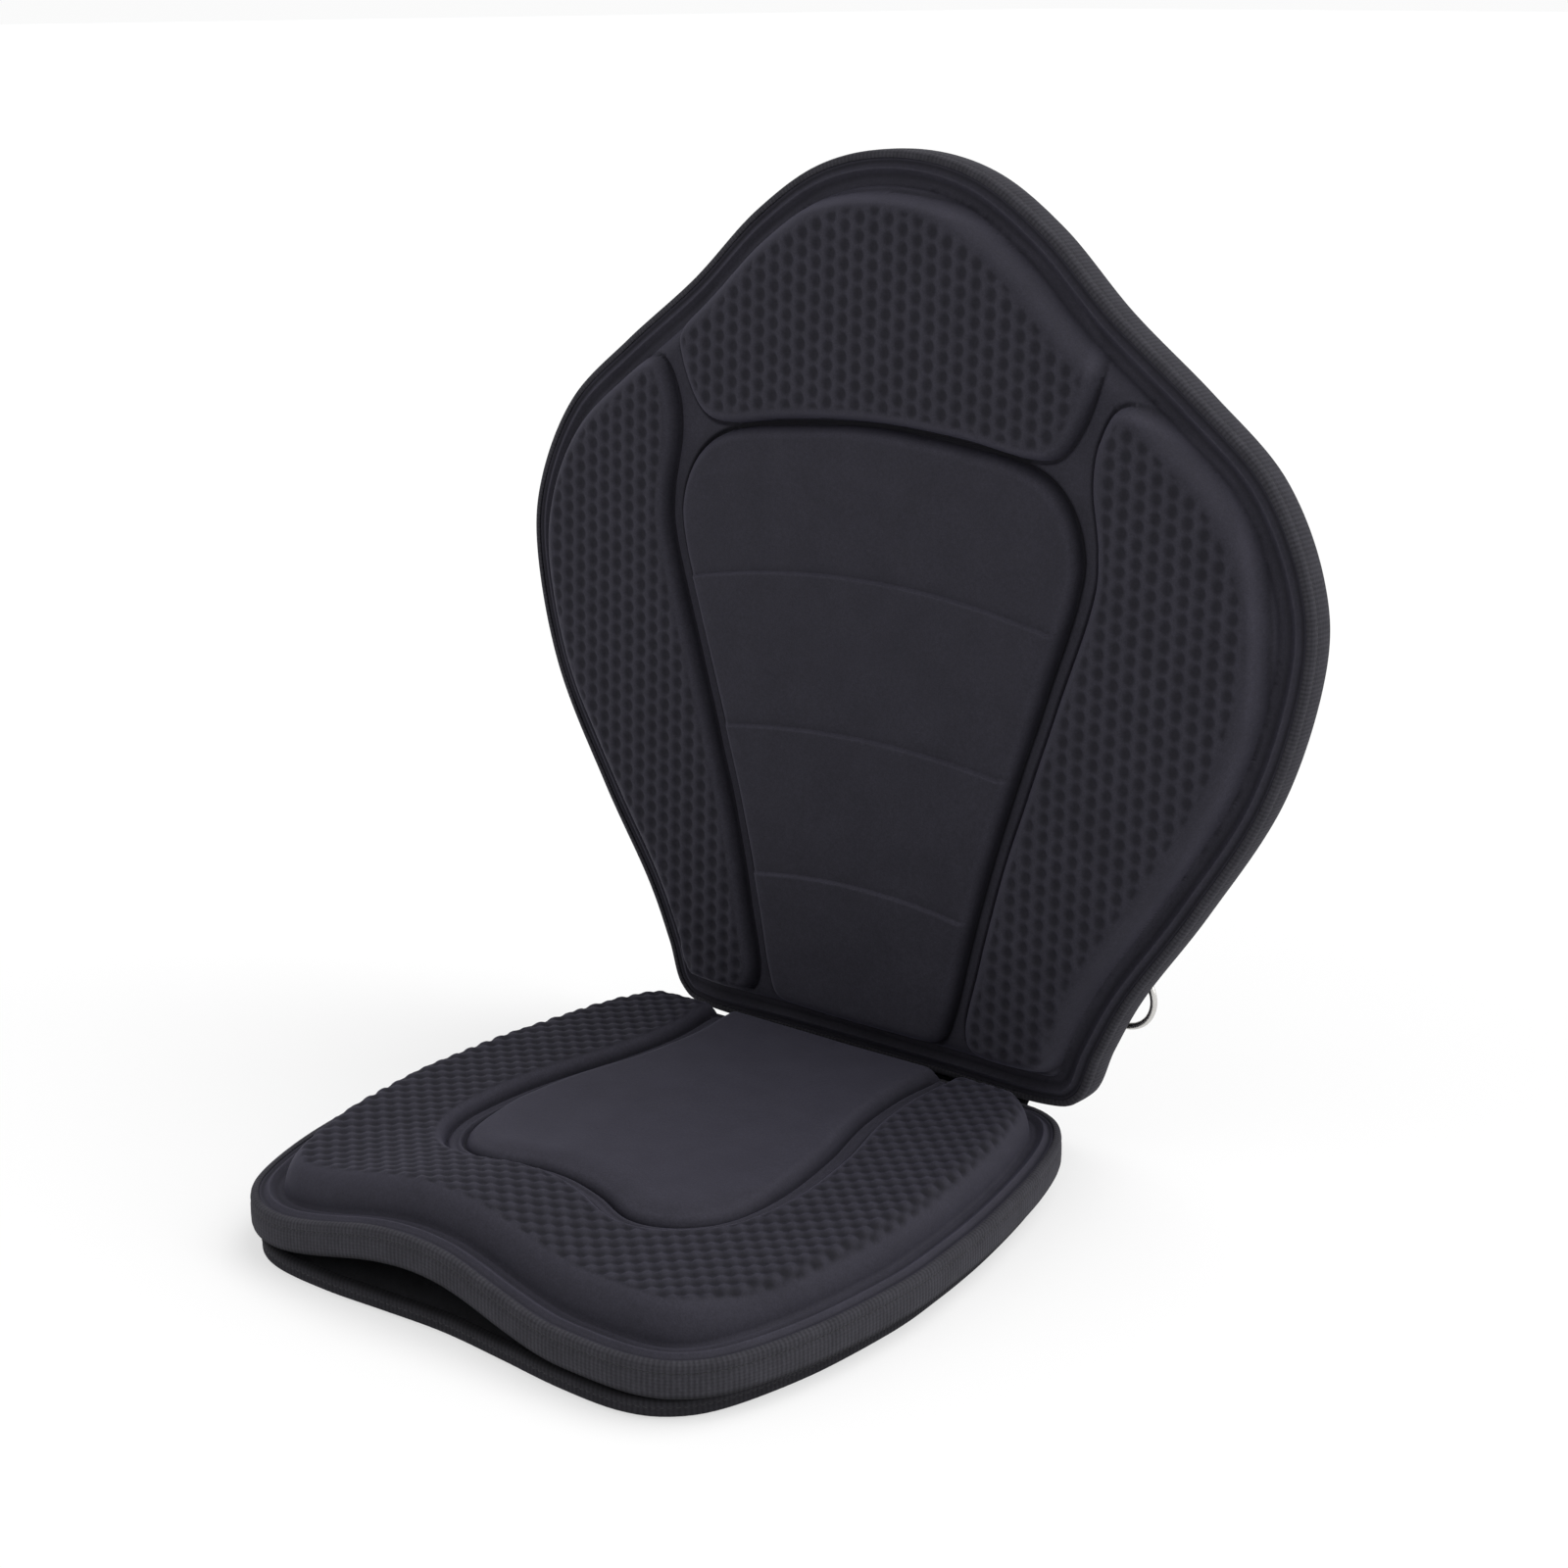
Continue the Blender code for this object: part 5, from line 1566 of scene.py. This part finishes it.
class KAYAKSEAT_OT_side_straps(KayakSeatStep, bpy.types.Operator):
    """Add the two stowed side straps with their patches, rings and sliders."""

    bl_idname = "kayakseat.side_straps"
    bl_label = "Side Straps"

    def build(self, sizes, colours):
        for side, name in ((1, "right"), (-1, "left")):
            self.add_strap(side, name, sizes, colours)

    def add_strap(self, side, name, sizes, colours):
        place = strap_place(side)
        length, width = PATCH_SIZE
        loop = rounded_rectangle(length, width, 2 * MM, 1 * MM)
        rim = [inset(loop, distance) for distance in (0.3 * MM, PATCH_ROUND)]
        inner = np.vstack(rim + [sheet_points(loop, 2.2 * MM)])

        def upper(flat):
            share = eased(depth_inside(flat, loop) / PATCH_ROUND)
            return plain_top(PATCH_TOP - 0.4 * MM * (1 - share))

        title = f"strap_patch_cloth_{name}"
        mesh = outward(slab(title, loop, inner, upper, level(GAP), place))
        look = look_named("rear_fabric", rear_oxford, colours)
        patch = add_piece(title, mesh, look, "backrest", "rear_fabric", f"strap_patch_{name}")
        webbing = look_named("strap_webbing", webbing_look, colours)
        metal = look_named("strap_metal", nickel, colours)
        for piece, make, finish, slot, solid in (
                ("strap_webbing", strap_mesh, webbing, "strap_webbing", "strap"),
                ("strap_d_ring", ring_mesh, metal, "strap_metal", "strap_ring"),
                ("strap_three_bar", slider_mesh, metal, "strap_metal", "strap_slider")):
            title = f"{piece}_{name}"
            add_piece(title, make(title, place), finish, "backrest", slot, f"{solid}_{name}")
        edge = 2 * MM
        rows = rectangle_path((edge - length / 2, edge - width / 2), (length / 2 - edge, width / 2 - edge),
                              PATCH_TOP, place)
        rows += rectangle_path((2 * MM, -10 * MM), (12.5 * MM, 10 * MM), STRAP_HEIGHT + CLOTH / 2, place,
                               crossed=True)
        thread = look_named("sewing_thread", thread_look, colours)
        stitching(f"strap_stitching_{name}", rows, thread, "backrest", sizes)


class KAYAKSEAT_PT_panel(bpy.types.Panel):
    """Lists the steps and their settings."""

    bl_idname = "KAYAKSEAT_PT_panel"
    bl_label = "Padded Kayak Seat"
    bl_space_type = "VIEW_3D"
    bl_region_type = "UI"
    bl_category = "Kayak Seat"

    def draw(self, context):
        for step in OPERATORS:
            self.layout.operator(step.bl_idname)
        for group in (context.scene.kayak_seat_sizes, context.scene.kayak_seat_colours):
            box = self.layout.box()
            for name in type(group).__annotations__:
                box.prop(group, name)


OPERATORS = (KAYAKSEAT_OT_stage, KAYAKSEAT_OT_seat_base, KAYAKSEAT_OT_seat_pad, KAYAKSEAT_OT_seat_edges,
             KAYAKSEAT_OT_backrest_pad, KAYAKSEAT_OT_backrest_rear, KAYAKSEAT_OT_backrest_edge,
             KAYAKSEAT_OT_hinge, KAYAKSEAT_OT_side_straps)
CLASSES = (KayakSeatSizes, KayakSeatColours, *OPERATORS, KAYAKSEAT_PT_panel)


def register():
    for item in CLASSES:
        bpy.utils.register_class(item)
    bpy.types.Scene.kayak_seat_sizes = PointerProperty(type=KayakSeatSizes)
    bpy.types.Scene.kayak_seat_colours = PointerProperty(type=KayakSeatColours)


def unregister():
    del bpy.types.Scene.kayak_seat_colours
    del bpy.types.Scene.kayak_seat_sizes
    for item in reversed(CLASSES):
        bpy.utils.unregister_class(item)


def main():
    register()
    for step in OPERATORS:
        group, name = step.bl_idname.split(".")
        getattr(getattr(bpy.ops, group), name)()


if __name__ == "__main__":
    main()
